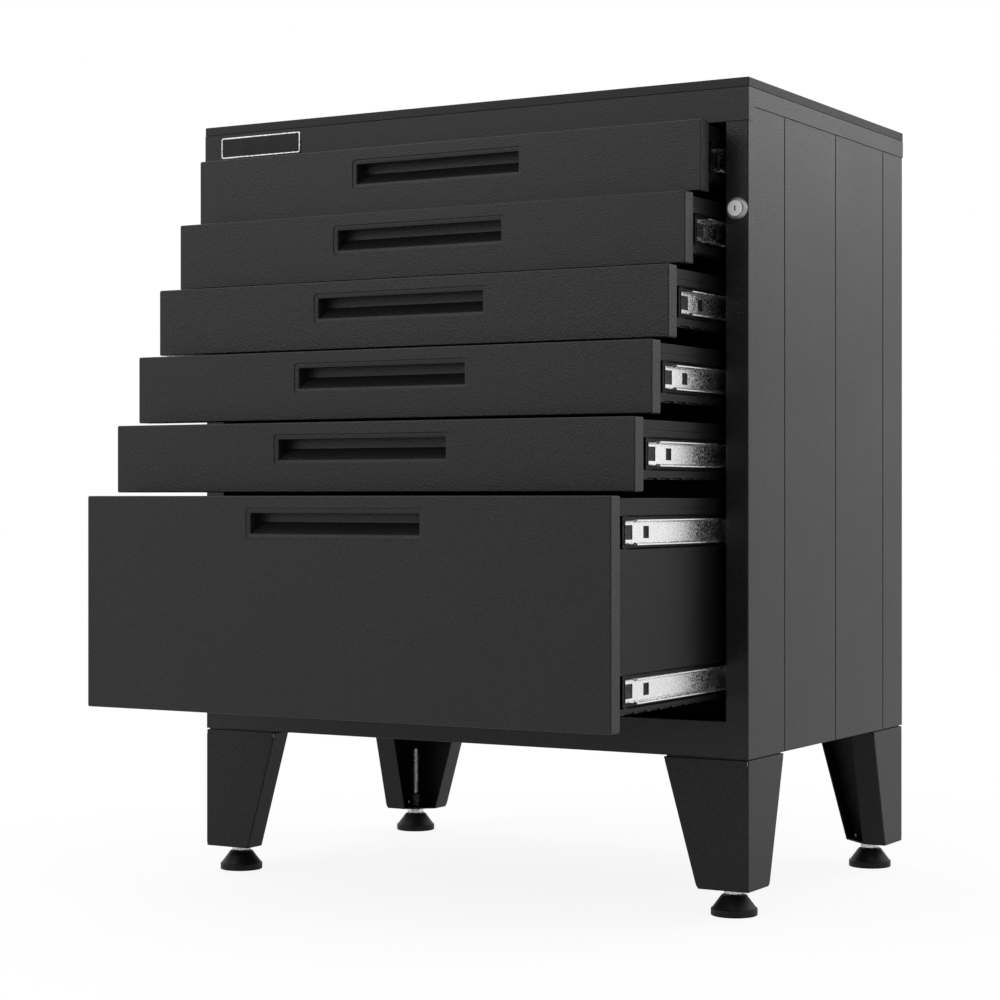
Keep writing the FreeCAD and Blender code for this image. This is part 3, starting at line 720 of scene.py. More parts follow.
def front_shell(low, high):
    """Drawer front: rounded outlines from the back lip round the face into the pull slot.

    The rings are closed on themselves, so the pan, the set-back panel and the slot are one
    sheet with an inner and an outer face.
    """
    depth, corner = high[1] - low[1], mm("front_corner")
    outer = [(BACK_LIP, BACK_CORNER, depth)]
    outer += [(back, corner, depth - drop) for back, drop in reversed(arc(BACK_EDGE))]
    outer += [(back, corner - back / 2, drop) for back, drop in arc(mm("front_edge"), EDGE_STEPS)]
    slot = [*BEZEL_ROWS]
    slot += [(BEZEL_MARGIN - back, SLOT_CORNER + back, LIP_DEPTH + drop)
             for back, drop in reversed(arc(mm("slot_lip")))]
    slot += SLOT_ROWS
    inner = [(FRONT_SHEET, INNER_CORNER, FRONT_SHEET),
             (FRONT_SHEET, INNER_CORNER, depth - FRONT_SHEET),
             (BACK_LIP, BACK_CORNER, depth - FRONT_SHEET)]
    pan, opening = (high[0], (high[2] - low[2]) / 2), SLOT_HALF + BEZEL_MARGIN
    middle, slot_height = (high[2] + low[2]) / 2, high[2] - SLOT_DROP
    return tube(np.concatenate([
        round_loops((0, low[1], height), stepped(half, rows)) for height, half, rows in
        ((middle, pan, outer), (slot_height, opening, slot), (middle, pan, inner))]), closed=True)


class CABINET_OT_fronts(PieceOperator):
    """Drawer fronts: folded pans with the bezel and the rolled lip of the pull slot"""

    bl_idname = "cabinet.fronts"
    bl_label = "Drawer fronts"

    def build(self):
        for number in DRAWERS:
            node = f"drawer_{number}_front"
            new_piece(f"front_pan_{number}", [front_shell(*corners(node))], node,
                      "drawer_fronts", "front_powder_coat", sharp=50)


PULL_SHEET = 0.8
PULL_GAP = 0.02
# Section and end plate, from the face of the front and the lower edge of the slot.
PULL_PATH = ((1.0, 35.0), (1.0, 30.0), (18.5, 30.0), (18.5, 12.4), (2.0, 0.0), (2.0, -5.0))
PULL_BENDS = (0.5, 0.8, 1.0, 0.6)
PULL_END = ((2.0, 0.0), (19.3, 11.9), (19.3, 30.8), (2.0, 30.8))


def pull_shells(low, high):
    """Pocket of the pull: its folded profile carried across, with a plate at each end."""
    place = low[1], high[2] - SLOT_DROP - SLOT_HALF[1]
    half = SLOT_HALF[0] - PULL_GAP
    tray = folded_sheet(np.add(PULL_PATH, place), PULL_SHEET, PULL_BENDS, [-half, half], "x")
    return [tray] + both([prism(np.add(PULL_END, place), half, half + PULL_SHEET, "x")])


class CABINET_OT_pulls(PieceOperator):
    """Pockets of the pulls behind the slots"""

    bl_idname = "cabinet.pulls"
    bl_label = "Pulls"

    def build(self):
        for number in DRAWERS:
            new_piece(f"pull_pocket_{number}", pull_shells(*corners(f"drawer_{number}_front")),
                      f"drawer_{number}_pull", "drawer_fronts", "front_powder_coat")


BALL_OFFSET = 6.0
BALL_RADIUS = 2.25
BALL_PLAY = 0.07
SLIDE_SHEET = 1.2
SLIDE_THICKNESS = 12.7
MEMBER_HALF = 12.6
RACE_HALF = 1.8
RACE_RADIUS = BALL_RADIUS + BALL_PLAY
RACE_SAG = RACE_RADIUS * (math.sqrt(2) - 1)
BALL_HEIGHT = MEMBER_HALF - RACE_HALF + RACE_SAG + RACE_RADIUS
RACE_APEX = BALL_HEIGHT + RACE_RADIUS + RACE_SAG
CABINET_MEMBER_HALF = RACE_APEX + SLIDE_SHEET * math.sqrt(2)

BOX_SHEET = 0.9
BOX_HALF = 319.7
BOX_INNER = BOX_HALF - BOX_SHEET
BOX_REAR = 425.0
BOX_RIM_DROP = 2.2
FRONT_DEPTH = 19.3
FRONT_WALL_DROP = 0.3
VENT_HEIGHT = 1.7
VENT_REACH = 1.2
SLIDE_SEAT = 316.7
WALL_NOTCH = SLIDE_SEAT - 1.0
CHANNEL_HALF = 15.35
CHANNEL_REACH = CHANNEL_HALF + 1.5
CHANNEL = ((BOX_HALF, -CHANNEL_REACH), (SLIDE_SEAT, -CHANNEL_HALF),
           (SLIDE_SEAT, CHANNEL_HALF), (BOX_HALF, CHANNEL_REACH))
RELIEF = (23.0, 41.5)
RELIEF_EDGE = 0.5
HEM = 10.0
HEM_DEPTH = 1.9
HEM_BEND = 0.02
# Pressed line under the hem, from the side and the rim.
HEM_LINE = ((0.0, -10.9), (-0.35, -10.6), (0.0, -10.3))
HEM_LINE_BEND = 0.05


def slide_centres(number):
    """Heights of the slide centres of a drawer, from its top one."""
    low, high = corners(f"slide_{number}_cabinet_members")
    return sorted({round(high[2] - CABINET_MEMBER_HALF, 3),
                   round(low[2] + CABINET_MEMBER_HALF, 3)}, reverse=True)


def vents():
    """Stations along a drawer box, and which stretches between them lie in a slot."""
    starts = np.arange(mm("vent_start"), BOX_REAR - mm("vent_length"), mm("vent_pitch"))
    ends = starts + mm("vent_length")
    stations = np.unique(np.r_[FRONT_DEPTH, RELIEF, starts, ends, BOX_REAR])
    along = ((stations[1:] + stations[:-1]) / 2)[:, None]
    return stations, ((along > starts) & (along < ends)).any(1)


def box_side(centres, face, floor, rim):
    """Side of a drawer box: its folded section carried back, with a channel at each slide.

    The channels are flush and cut out at their front end, and slots are open at the floor.
    """
    path = [(BOX_HALF, floor), (BOX_HALF, floor + VENT_HEIGHT)]
    for centre in reversed(centres):
        path += [(x, centre + z) for x, z in CHANNEL]
    path += [(BOX_HALF + x, rim + z) for x, z in HEM_LINE]
    path += [(BOX_HALF, rim), (BOX_HALF - HEM_DEPTH, rim), (BOX_HALF - HEM_DEPTH, rim - HEM)]
    bends = [0] + [mm("bend")] * len(CHANNEL) * len(centres)
    near, far = folded(path, BOX_SHEET,
                       bends + [HEM_LINE_BEND] * len(HEM_LINE) + [HEM_BEND] * 2)
    stations, in_slot = vents()
    height = ((near + far)[1:] + (near + far)[:-1])[:, 1:] / 4
    along = (stations[1:] + stations[:-1]) / 2
    keep = ~(in_slot & (height < floor + VENT_HEIGHT))
    near, far = (carried(side, face + stations, "y") for side in (near, far))
    for centre in centres:
        flush = np.ix_(abs(near[:, 0, 2] - centre) < CHANNEL_REACH + RELIEF_EDGE,
                       stations < RELIEF[1], [0])
        near[flush], far[flush] = BOX_HALF, BOX_INNER
        keep &= ~((abs(height - centre) < CHANNEL_REACH)
                  & (along > RELIEF[0]) & (along < RELIEF[1]))
    return sheet(near, far, keep)


def box_floor(face, floor):
    """Floor of a drawer box, with the slots of the sides reaching into its edges."""
    stations, in_slot = vents()
    grids = (carried(line, face + stations, "y") for line in folded(
        [(x, floor) for x in (-BOX_INNER, VENT_REACH - BOX_INNER, BOX_INNER - VENT_REACH,
                              BOX_INNER)], BOX_SHEET, 0))
    return sheet(*grids, np.vstack([~in_slot, np.ones_like(in_slot), ~in_slot]))


def box_walls(centres, face, floor, rim):
    """Front and rear wall of a drawer box, the rear one hemmed and open at the channels."""
    start, back = face + FRONT_DEPTH + BOX_SHEET, face + BOX_REAR
    front = folded_sheet([(start, floor), (start, rim - FRONT_WALL_DROP)], BOX_SHEET, 0,
                         [-BOX_INNER, BOX_INNER], "x")
    gaps = sorted(z for c in centres for z in (c - CHANNEL_HALF, c + CHANNEL_HALF))
    path = [(back, z) for z in (floor, *gaps, rim)]
    path += [(back - HEM_DEPTH, rim), (back - HEM_DEPTH, rim - HEM)]

    def metal(y, z, x):
        at_gap = np.any([abs(z - c) < CHANNEL_HALF for c in centres], axis=0)
        return ~(at_gap & (abs(x) > SLIDE_SEAT - BOX_SHEET))

    return [front, folded_sheet(path, BOX_SHEET, [0] * len(gaps) + [HEM_BEND] * 2,
                                [-BOX_INNER, -WALL_NOTCH, WALL_NOTCH, BOX_INNER], "x", metal)]


CATCH_SHEET = 2.0
CATCH_BENDS = (0, 0, 0.6)
CATCH_SETBACK = 19.2
CATCH_DROP = 12.0
CATCH_NOTCH = 7.0
CATCH_PLAY = 2.5
CATCH_END = 3.0
CATCH_FOOT = 12.0


def catch(face, rim):
    """Angle behind the drawer whose hook the finger of the lock bar catches."""
    x, hook = POST_INNER - CATCH_SETBACK, rim - CATCH_DROP
    notch = hook - CATCH_NOTCH
    bar_low, bar_high = corners("lock_bar")
    start = face + bar_low[1] - POST_FRONT - CATCH_PLAY
    end = face + bar_high[1] - POST_FRONT + CATCH_PLAY
    path = [(x, end + CATCH_END), (x, end), (x, start), (x, face + BOX_REAR),
            (x - CATCH_FOOT, face + BOX_REAR)]
    return folded_sheet(path, CATCH_SHEET, CATCH_BENDS, [notch - CATCH_END, notch, hook], "z",
                        lambda x, y, z: (y < start) | (y > end) | (z < notch))


class CABINET_OT_boxes(PieceOperator):
    """Drawer boxes with rolled hems, slide channels, slots and lock catches"""

    bl_idname = "cabinet.boxes"
    bl_label = "Drawer boxes"

    def build(self):
        for number in DRAWERS:
            node = f"drawer_{number}_box"
            low, high = corners(f"drawer_{number}_front")
            face, floor, rim = low[1], corners(node)[0][2], high[2] - BOX_RIM_DROP
            centres = slide_centres(number)
            shells = both([box_side(centres, face, floor, rim)]) + [box_floor(face, floor)]
            shells += box_walls(centres, face, floor, rim) + [catch(face, rim)]
            new_piece(f"tray_{number}", shells, node, "drawer_inner", "inner_powder_coat")


def section(points, bends):
    """Path and radii continued by their mirror image."""
    return [*points, *((u, -v) for u, v in reversed(points))], bends + bends[::-1]


def at_slides(number, shells):
    """Shells of one slide, set at every slide of a drawer and on both its sides."""
    return both([(points + (SLIDE_SEAT, 0, centre), quads, caps)
                 for centre in slide_centres(number) for points, quads, caps in shells])


# Start, tip of the tabs, their root, end of the notch and both ends of the window.
MEMBER_STATIONS = (0.0, 0.5, 11.4, 15.4, 39.5, 52.1)
MEMBER_WEB = 1.3
TIP = (7.9, 10.7)
TAB = (7.3, 11.3)
WINDOW_HALF = 6.15
MEMBER_PATH = ((8.7, 12.6), (7.8, 12.6), (6.0, 10.8), (4.2, 12.6), (0, 12.6), (0, TAB[1]),
               (0, TIP[1]), (0, TIP[0]), (0, TAB[0]), (0, WINDOW_HALF))
MEMBER_BENDS = [0.2, 0.6, 0.2, 0.3, 0, 0, 0, 0, 0]


def drawer_members(number):
    """Drawer members: section with two races, cut out at its tabs, notch and window."""
    low, high = corners(f"drawer_{number}_slide_members")
    stations = np.r_[low[1] + MEMBER_STATIONS, high[1]]
    _, tip, root, notch, window, window_end, _ = stations

    def metal(u, v, y):
        up, web = abs(v), u < MEMBER_WEB
        is_tab = np.where(y < tip, (up > TIP[0]) & (up < TIP[1]),
                          (up > TAB[0]) & (up < TAB[1]))
        is_cut = ((up < TAB[0]) & (y < notch)) | (
            (up < WINDOW_HALF) & (y > window) & (y < window_end))
        return np.where(y < root, web & is_tab, ~(web & is_cut))

    path, bends = section(MEMBER_PATH, MEMBER_BENDS)
    return at_slides(number, [folded_sheet(path, SLIDE_SHEET, bends, stations, "y", metal)])


LATCH_SHEET = 0.4
LATCH_PATH = ((0.25, -7.2), (0.55, -6.9), (0.55, 6.9), (0.25, 7.2))


def latches(number):
    """Tongues of the release latches in the notches of the drawer members."""
    start = corners(f"drawer_{number}_slide_members")[0][1]
    ends = [start + MEMBER_STATIONS[1], start + MEMBER_STATIONS[3]]
    return at_slides(number, [folded_sheet(LATCH_PATH, LATCH_SHEET, 0, ends, "y")])


RACE_FLAT = RACE_APEX - RACE_HALF
CABINET_PATH = ((BALL_OFFSET - RACE_HALF - 0.8, RACE_FLAT), (BALL_OFFSET - RACE_HALF, RACE_FLAT),
                (BALL_OFFSET, RACE_APEX), (BALL_OFFSET + RACE_HALF, RACE_FLAT),
                (SLIDE_THICKNESS - SLIDE_SHEET, RACE_FLAT))
CABINET_BENDS = [0.3, 0.5, 0.3, 0.4]


def cabinet_members(number):
    """Cabinet members: section with a race pressed into each flange, carried straight."""
    ends = [corner[1] for corner in corners(f"slide_{number}_cabinet_members")]
    path, bends = section(CABINET_PATH, CABINET_BENDS)
    return at_slides(number, [folded_sheet(path, SLIDE_SHEET, bends, ends, "y")])


CAGE_SHEET = 0.8
CAGE_HALF = BALL_HEIGHT + CAGE_SHEET / 2
CAGE_WINDOW = 1.9
CAGE_PATH = ((BALL_OFFSET - BALL_RADIUS, CAGE_HALF), (BALL_OFFSET - CAGE_WINDOW, CAGE_HALF),
             (BALL_OFFSET + CAGE_WINDOW, CAGE_HALF),
             (SLIDE_THICKNESS - SLIDE_SHEET - 0.3, CAGE_HALF))
CAGE_BENDS = [0, 0, 0.5]
CAGE_ENDS = (8.0, 6.0)
BALL_POLE = 0.12


def cages_and_balls(number):
    """Ball cages, channels with a window at every ball, and the balls in them."""
    low, high = corners(f"drawer_{number}_ball_cages")
    places = np.arange(low[1] + CAGE_ENDS[0], high[1] - CAGE_ENDS[1], mm("ball_pitch"))
    stations = np.sort(np.r_[low[1], places - CAGE_WINDOW, places + CAGE_WINDOW, high[1]])

    def metal(u, v, y):
        offset = abs(y[..., None] - places).min(-1)
        return (abs(u - BALL_OFFSET) > CAGE_WINDOW) | (offset > CAGE_WINDOW)

    path, bends = section(CAGE_PATH, CAGE_BENDS)
    cage = folded_sheet(path[::-1], CAGE_SHEET, bends, stations, "y", metal)
    turn = np.linspace(BALL_POLE, np.pi - BALL_POLE, 6)
    profile = BALL_RADIUS * np.stack([np.sin(turn), np.cos(turn)], -1)
    balls = [turned(profile, (BALL_OFFSET, y, height), 8)
             for height in (-BALL_HEIGHT, BALL_HEIGHT) for y in places]
    return at_slides(number, [cage]), at_slides(number, balls)


class CABINET_OT_slides(PieceOperator):
    """Slide members and ball cages: folded sections carried along the slide"""

    bl_idname = "cabinet.slides"
    bl_label = "Slides"

    def build(self):
        for number in DRAWERS:
            member, cage = f"drawer_{number}_slide_members", f"drawer_{number}_ball_cages"
            new_piece(f"inner_rails_{number}", drawer_members(number), member, "slides",
                      "galvanised_strip")
            new_piece(f"slide_latches_{number}", latches(number), member, "slides",
                      "phosphated_steel", replaces=False)
            new_piece(f"outer_rails_{number}", cabinet_members(number),
                      f"slide_{number}_cabinet_members", "slides", "galvanised_strip")
            cages, balls = cages_and_balls(number)
            new_piece(f"ball_retainers_{number}", cages, cage, "ball_cages", "screw_zinc")
            new_piece(f"slide_balls_{number}", balls, cage, "ball_cages", "lock_chrome",
                      replaces=False, sharp=80)


LEG_SHEET = 1.5
LEG_TOP = (100.1, 95.2)
LEG_FOOT = (60.8, 56.6)
LEG_LOW = 29.5
LEG_FLANGE = 28.5
LEG_FLUSH = 0.5
LEG_EDGES = (1.1, 0.8)
LEG_RELIEF = (4.0, 5.2)
LEG_CUT = 3.4
# First cell of each bend in the section of a leg.
LEG_BEND_CELLS = (2, 8, 14)
LEG_PLATE_INSET = 1.4
SPACER = 1.6
SPACER_INSET = 3.0


def leg_section(wide, deep):
    """Both faces of the section of a leg: two walls and two flanges."""
    path = [(LEG_FLANGE, deep), (LEG_CUT, deep), (0, deep), (0, deep - LEG_CUT), (0, 0),
            (wide - LEG_CUT, 0), (wide, 0), (wide, LEG_CUT), (wide, LEG_FLANGE)]
    bend = mm("leg_bend")
    return folded(path, LEG_SHEET, (0, bend, 0, bend, 0, bend, 0))


def corner_plate(wide, deep, inset, cut):
    """Outline of a plate between the walls and flanges of a leg, its inner corner cut off.

    cut is the share of the way from the flanges' edges to the corner of the walls at which
    the plate ends: 0 leaves a diagonal edge and 1 an L.
    """
    inner = [cut * LEG_FLANGE + (1 - cut) * (size - inset + LEG_FLANGE) / 2
             for size in (wide, deep)]
    return [(inset, inset), (wide - inset, inset), (wide - inset, LEG_FLANGE), inner,
            (LEG_FLANGE, deep - inset), (inset, deep - inset)]


def leg_walls(foot, head):
    """Walls of a leg: a folded section ruled from its foot to its head, with rounded ends.

    The section at a height lies between the foot and the head section by the share of the
    height.  Near both ends the outer face draws in along a quarter circle, and the foot is
    cut off slantwise at the two outer bends.
    """
    edge, brow = (np.array(arc(radius)) for radius in LEG_EDGES)
    levels = np.r_[foot + edge[::-1, 1], foot + LEG_RELIEF[0], head - LEG_RELIEF[1],
                   head - brow[:, 1]]
    inset = np.r_[edge[::-1, 0], 0, 0, brow[:, 0]]
    share = ((levels - foot) / (head - foot))[None, :, None]
    at_foot, at_head = leg_section(*LEG_FOOT), leg_section(*LEG_TOP)
    near, far = ((1 - share) * a[:, None] + share * b[:, None] for a, b in zip(at_foot, at_head))
    near = near + inset[None, :, None] * (far - near) / LEG_SHEET
    outer_bends = np.array([(0, LEG_FOOT[1]), (LEG_FOOT[0], 0)])
    away = np.linalg.norm(at_foot[0][:, None] - outer_bends, axis=2).min(1)
    rise = ((LEG_CUT - away).clip(0)[:, None]
            * (1 - (levels - foot) / LEG_RELIEF[0]).clip(0)[None])
    grids = [np.concatenate([face, (levels + rise)[..., None]], -1) for face in (near, far)]
    keep = np.ones((len(near) - 1, len(levels) - 1), bool)
    relief = np.r_[0:len(edge), len(levels) - 1 - len(brow):len(levels) - 1]
    for start in LEG_BEND_CELLS:
        keep[start:start + BEND_STEPS, relief] = False
    return sheet(*grids, keep)


def leg_shells(name):
    """Walls and plates of a leg, turned to its corner of the cabinet."""
    foot, head = LEG_LOW, BODY_FOOT - SPACER
    shells = [leg_walls(foot, head)]
    for size, inset, cut, bottom, top in (
            (LEG_TOP, LEG_PLATE_INSET, 1, head - LEG_SHEET, head),
            (LEG_TOP, SPACER_INSET, 1, head, BODY_FOOT),
            (LEG_FOOT, LEG_PLATE_INSET, 0, foot, foot + LEG_SHEET)):
        shells.append(prism(corner_plate(*size, inset, cut), bottom, top, "z"))
    low, high = corners(f"leg_{name}")
    for points, _, _ in shells:
        for axis, is_low in enumerate(("left" in name, "front" in name)):
            points[:, axis] = (low[axis] - LEG_FLUSH + points[:, axis] if is_low
                               else high[axis] + LEG_FLUSH - points[:, axis])
    return shells


class CABINET_OT_legs(PieceOperator):
    """Tapering legs with relief cuts at their corners, top plates and foot plates"""

    bl_idname = "cabinet.legs"
    bl_label = "Legs"

    def build(self):
        for name in FEET:
            new_piece(f"formed_leg_{name}", leg_shells(name), f"leg_{name}", "legs",
                      "leg_powder_coat", ease=0.15)


# Radius and height.
PAD_PROFILE = ((1.0, 0.7), (21.8, 0.7), (22.4, 0.0), (24.3, 0.0), (24.9, 0.3), (25.15, 0.9),
               (25.15, 6.7), (24.95, 7.4), (24.45, 7.85), (23.9, 7.95), (23.7, 8.25),
               (23.45, 8.5), (13.95, 21.2), (13.4, 21.8), (12.6, 22.0), (5.6, 22.0),
               (5.2, 21.7), (5.02, 21.3), (5.02, 12.0), (1.0, 12.0))
HEX_HALF = 9.5
HEX_PROFILE = ((4.0, 0.08), (8.6, 0.08), (9.3, 0.23), (11.2, 1.38), (11.2, 5.78), (9.3, 7.03),
               (8.7, 7.2), (4.0, 7.2))
SHANK_RADIUS = 4.9
SHANK_CHAMFER = 0.6
SHANK_ENDS = ((1.0, 3.8), (3.9, 1.0))
THREAD_CORE = 4.5
THREAD_FLANK = 1.25
THREAD_CREST = 0.12
LEVELS_PER_TURN = 6
BUSH_RADIUS = 7.0
BUSH_CHAMFER = 0.7
BORE_RADIUS = 5.0
BORE_CHAMFER = 0.4


def hexagon(half, turn=0.0):
    """Ripple of a hexagon: half its flats over the cosine of the angle from the nearest one."""
    def ripple(radius, height, angle):
        from_flat = (angle - turn + np.pi / 6) % (np.pi / 3) - np.pi / 6
        return np.minimum(half / np.cos(from_flat), radius)
    return ripple


def threaded(pitch, depth):
    """Ripple of a screw thread: a triangle wave of the height less the turned share."""
    def ripple(radius, height, angle):
        phase = (height / pitch - angle / (2 * np.pi)) % 1.0
        cut = depth * np.clip(THREAD_FLANK * abs(2 * phase - 1) - THREAD_CREST, 0, 1)
        return np.where(radius > THREAD_CORE, radius - cut, radius)
    return ripple


def shank(low, high, place):
    """Threaded rod with chamfered ends, between two heights."""
    pitch = mm("thread_pitch")
    count = int((high - low - 2 * SHANK_CHAMFER) / pitch * LEVELS_PER_TURN)
    profile = [(radius, low) for radius in SHANK_ENDS[0]]
    profile += [(SHANK_RADIUS, level)
                for level in np.linspace(low + SHANK_CHAMFER, high - SHANK_CHAMFER, count)]
    profile += [(radius, high) for radius in SHANK_ENDS[1]]
    return turned(profile, place, 24, ripple=threaded(pitch, mm("thread_depth")))


class CABINET_OT_feet(PieceOperator):
    """Turned glides, threaded screws with chamfered hexagons, and bushes"""

    bl_idname = "cabinet.feet"
    bl_label = "Levelling feet"

    def build(self):
        bushes = []
        start, end = (corner[2] for corner in corners("foot_nuts"))
        bush = [(BORE_RADIUS, start), (BUSH_RADIUS, start), (BUSH_RADIUS, end - BUSH_CHAMFER),
                (BUSH_RADIUS - BUSH_CHAMFER, end), (BORE_RADIUS + BORE_CHAMFER, end),
                (BORE_RADIUS, end - BORE_CHAMFER)]
        for name in FEET:
            pad, stud = f"foot_pad_{name}", f"foot_stud_{name}"
            low, high = corners(stud)
            x, y, _ = (low + high) / 2
            new_piece(f"glide_{name}", [turned(PAD_PROFILE, (x, y, 0), 64)], pad, "glides",
                      "glide_plastic", sharp=32)
            nut = turned(HEX_PROFILE, (x, y, corners(pad)[1][2]), 60, ripple=hexagon(HEX_HALF))
            new_piece(f"screw_{name}", [shank(low[2], high[2], (x, y, 0)), nut], stud, "studs",
                      "screw_zinc", sharp=28)
            bushes.append(turned(bush, (x, y, 0), 36, closed=True))
        new_piece("foot_bushes", bushes, "foot_nuts", "nuts", "phosphated_steel")


# Radius and depth behind the post.
LOCK_BODY = ((8.7, 22.0), (8.7, -5.1), (8.9, -5.4), (9.3, -5.5), (9.7, -5.4), (10.4, -4.7),
             (11.1, -3.5), (11.8, -2.1), (12.2, -1.3), (12.4, -0.8), (12.4, 0.0), (9.9, 0.02),
             (9.9, 22.0))
LOCK_NUT = ((9.8, 1.02), (13.2, 1.02), (13.2, 4.2), (12.2, 5.0), (9.8, 5.0))
LOCK_NUT_HALF = 11.25
# Half width, half height, corner radius and depth behind the plug.
KEY_DISC = ((8.3, 8.3, 8.3, 0.0), (8.3, 8.3, 8.3, -0.3), (8.0, 8.0, 8.0, -0.55),
            (0.95, 3.2, 0.9, -0.55), (0.8, 3.0, 0.8, -0.4), (0.8, 3.0, 0.8, 0.0))
# Black insert at the bottom of the keyway: painted shade that stands in for the dark depth of the
# keyway.
KEYWAY_SHADE = ((0.82, 3.02, 0.8, 0.1), (0.82, 3.02, 0.8, -0.2), (0.5, 2.7, 0.5, -0.3))


class CABINET_OT_lock(PieceOperator):
    """Turned lock body, its plug with the keyway, and the bar behind the drawers"""

    bl_idname = "cabinet.lock"
    bl_label = "Lock"

    def build(self):
        low, high = corners("lock_housing")
        x, _, z = (low + high) / 2
        body = turned(LOCK_BODY, (x, POST_FRONT, z), 72, axis=1, closed=True)
        nut = turned(LOCK_NUT, (x, POST_FRONT, z), 60, axis=1, closed=True,
                     ripple=hexagon(LOCK_NUT_HALF, np.pi / 6))
        new_piece("lock_body", [body, nut], "lock_housing", "lock", "lock_chrome")
        eased_piece("lock_plug", "lock", "lock_chrome", ease=0.2)
        face = x, corners("lock_plug")[0][1], z
        disc = tube(round_loops(face, KEY_DISC, steps=9), closed=True)
        new_piece("key_disc", [disc], "lock_plug", "lock", "satin_nickel", replaces=False)
        # Black insert in the keyway: painted shade for the depth of the keyway, not a part of the
        # lock.
        new_piece("key_wards", [tube(round_loops(face, KEYWAY_SHADE))], "lock_plug", "lock",
                  "glide_plastic", replaces=False)
        eased_piece("lock_bar", "lock_bar", "screw_zinc", ease=0.25)


CAMERA_PLACE = (1.3982, -2.43215, 0.4467)
CAMERA_TURN = (90.0, 0.0, 29.99)
FOCAL_PIXELS = 2404.2
IMAGE_PIXELS = 1000.0
SENSOR = 36.0
HORIZON_ROW = 498.65
WHITE = (1.0, 1.0, 1.0, 1.0)
WORLD_LIGHT = 0.75
LAMPS = {
    "side_light": ((1.5, 2.2, 1.55), (0.35, 0.2, 0.75), (1.2, 0.9), 5),
    "front_light": ((-1.6, -3.0, 2.4), (0, 0, 0.4), (2.2, 1.4), 20),
}
FLOOR_REACH = 20000.0
FLOOR_TOP = -0.3
FLOOR_THICKNESS = 20.0
FLOOR_COLOUR = (0.8, 0.8, 0.8, 1.0)
FLOOR_GLOW = 1.1
FLOOR_SHARES = (0.8, 0.3)
BACKDROP_TURN = np.linspace(-34, 34, 11)
BACKDROP_RADIUS = 3600.0
BACKDROP_GROWTH = 1.01
BACKDROP_LEVELS = (5.0, 2200.0)
BACKDROP_COLOUR = (0.02, 0.02, 0.02, 1.0)


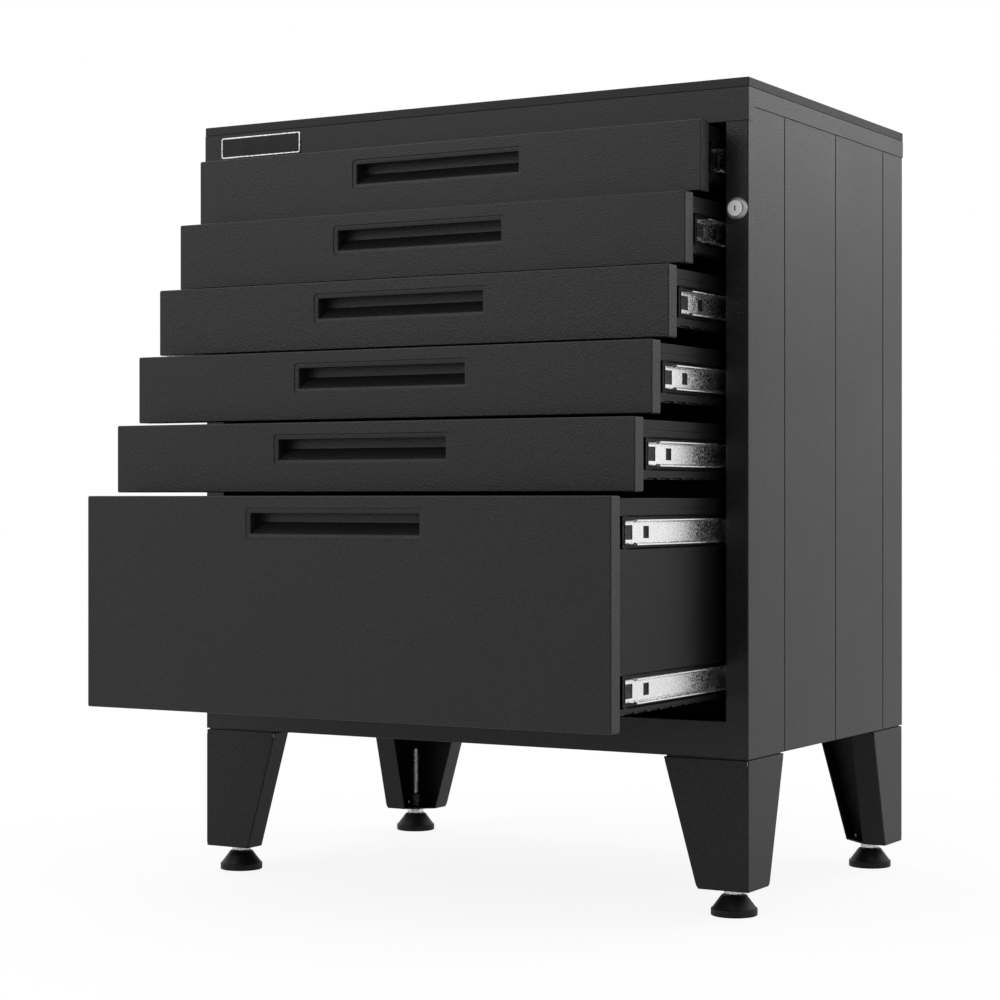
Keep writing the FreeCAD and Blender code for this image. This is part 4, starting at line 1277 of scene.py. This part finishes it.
class CABINET_OT_stage(bpy.types.Operator):
    """Camera at the angle of the photograph, pale floor, soft lamps and white surroundings"""

    bl_idname = "cabinet.stage"
    bl_label = "Stage"

    def camera(self, scene):
        """Camera of the photograph."""
        data = bpy.data.cameras.new("photo_camera")
        data.sensor_width = SENSOR
        data.lens = FOCAL_PIXELS / IMAGE_PIXELS * SENSOR
        data.shift_y = (HORIZON_ROW - IMAGE_PIXELS / 2) / IMAGE_PIXELS
        camera = linked("photo_camera", data)
        camera.location = CAMERA_PLACE
        camera.rotation_euler = [math.radians(angle) for angle in CAMERA_TURN]
        scene.camera = camera
        scene.view_settings.view_transform = "Standard"

    def lamp(self, name, place, towards, size, watts):
        """Area lamp of a size in metres, aimed at a point."""
        data = bpy.data.lights.new(name, "AREA")
        data.shape = "RECTANGLE"
        data.size, data.size_y = size
        data.energy = watts
        lamp = linked(name, data)
        lamp.location = place
        aim = Vector(towards) - Vector(place)
        lamp.rotation_euler = aim.to_track_quat("-Z", "Y").to_euler()

    def surroundings(self, scene):
        """World that lights softly and is white where it is seen."""
        scene.world = bpy.data.worlds.new("studio")
        tree = Tree(scene.world)
        light = tree.nodes["Background"]
        tree.feed(light, {"Color": WHITE, "Strength": WORLD_LIGHT})
        seen = tree.add("ShaderNodeBackground", {"Color": WHITE})
        tree.show(1.0, 1.0, Value(tree, light.outputs[0]), seen, "World Output")

    def floor(self):
        """Pale floor under the feet that keeps the shadow."""
        steps = np.linspace(-FLOOR_REACH, FLOOR_REACH, 3)
        grid = np.stack(np.meshgrid(steps, steps, [FLOOR_TOP], indexing="ij"), -1)[:, :, 0]
        mesh = mesh_of("floor", [sheet(grid - (0, 0, FLOOR_THICKNESS), grid)])
        pale = bpy.data.materials.new("pale_floor")
        tree = Tree(pale)
        tree.nodes.remove(tree.nodes["Principled BSDF"])
        matt = tree.add("ShaderNodeBsdfDiffuse", {"Color": FLOOR_COLOUR})
        glow = tree.add("ShaderNodeEmission", {"Strength": FLOOR_GLOW})
        tree.show(*FLOOR_SHARES, matt, glow, "Material Output")
        mesh.materials.append(pale)
        linked("floor", mesh)

    def backdrop(self):
        """Dark curved backdrop behind the camera, which only reflections show."""
        turn = np.radians(BACKDROP_TURN) + math.radians(CAMERA_TURN[2])
        line = BACKDROP_RADIUS * np.stack([np.sin(turn), -np.cos(turn)], -1)
        mesh = mesh_of("backdrop", [sheet(carried(line, BACKDROP_LEVELS, "z"),
                                          carried(BACKDROP_GROWTH * line, BACKDROP_LEVELS, "z"))])
        mesh.materials.append(Finish("dark_backdrop", Base_Color=BACKDROP_COLOUR).material)
        backdrop = linked("backdrop", mesh)
        for kind in ("camera", "diffuse", "shadow"):
            setattr(backdrop, f"visible_{kind}", False)

    def execute(self, context):
        self.camera(context.scene)
        self.surroundings(context.scene)
        for name, values in LAMPS.items():
            self.lamp(name, *values)
        self.floor()
        self.backdrop()
        return {"FINISHED"}


class CABINET_PT_panel(bpy.types.Panel):
    """Sidebar panel with the operators, sizes and colours"""

    bl_idname = "CABINET_PT_panel"
    bl_label = "Tool cabinet"
    bl_space_type = "VIEW_3D"
    bl_region_type = "UI"
    bl_category = "Tool cabinet"

    def draw(self, context):
        column = self.layout.column()
        for operator in OPERATORS:
            column.operator(operator.bl_idname)
        for group in (context.scene.cabinet_sizes, context.scene.cabinet_colours):
            box = self.layout.box()
            for name in group.__annotations__:
                box.prop(group, name)


OPERATORS = (
    CABINET_OT_stage,
    CABINET_OT_carcase,
    CABINET_OT_cover,
    CABINET_OT_badge,
    CABINET_OT_fronts,
    CABINET_OT_pulls,
    CABINET_OT_boxes,
    CABINET_OT_slides,
    CABINET_OT_legs,
    CABINET_OT_feet,
    CABINET_OT_lock,
)
CLASSES = (CabinetSizes, CabinetColours) + OPERATORS + (CABINET_PT_panel,)


def register():
    """Adds the classes and the two groups of properties."""
    for each in CLASSES:
        bpy.utils.register_class(each)
    bpy.types.Scene.cabinet_sizes = PointerProperty(type=CabinetSizes)
    bpy.types.Scene.cabinet_colours = PointerProperty(type=CabinetColours)


def unregister():
    """Takes them away again."""
    del bpy.types.Scene.cabinet_sizes
    del bpy.types.Scene.cabinet_colours
    for each in reversed(CLASSES):
        bpy.utils.unregister_class(each)


def main():
    """Builds the whole cabinet."""
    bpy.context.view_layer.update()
    register()
    for operator in OPERATORS:
        group, name = operator.bl_idname.split(".")
        getattr(getattr(bpy.ops, group), name)()


if __name__ == "__main__":
    main()
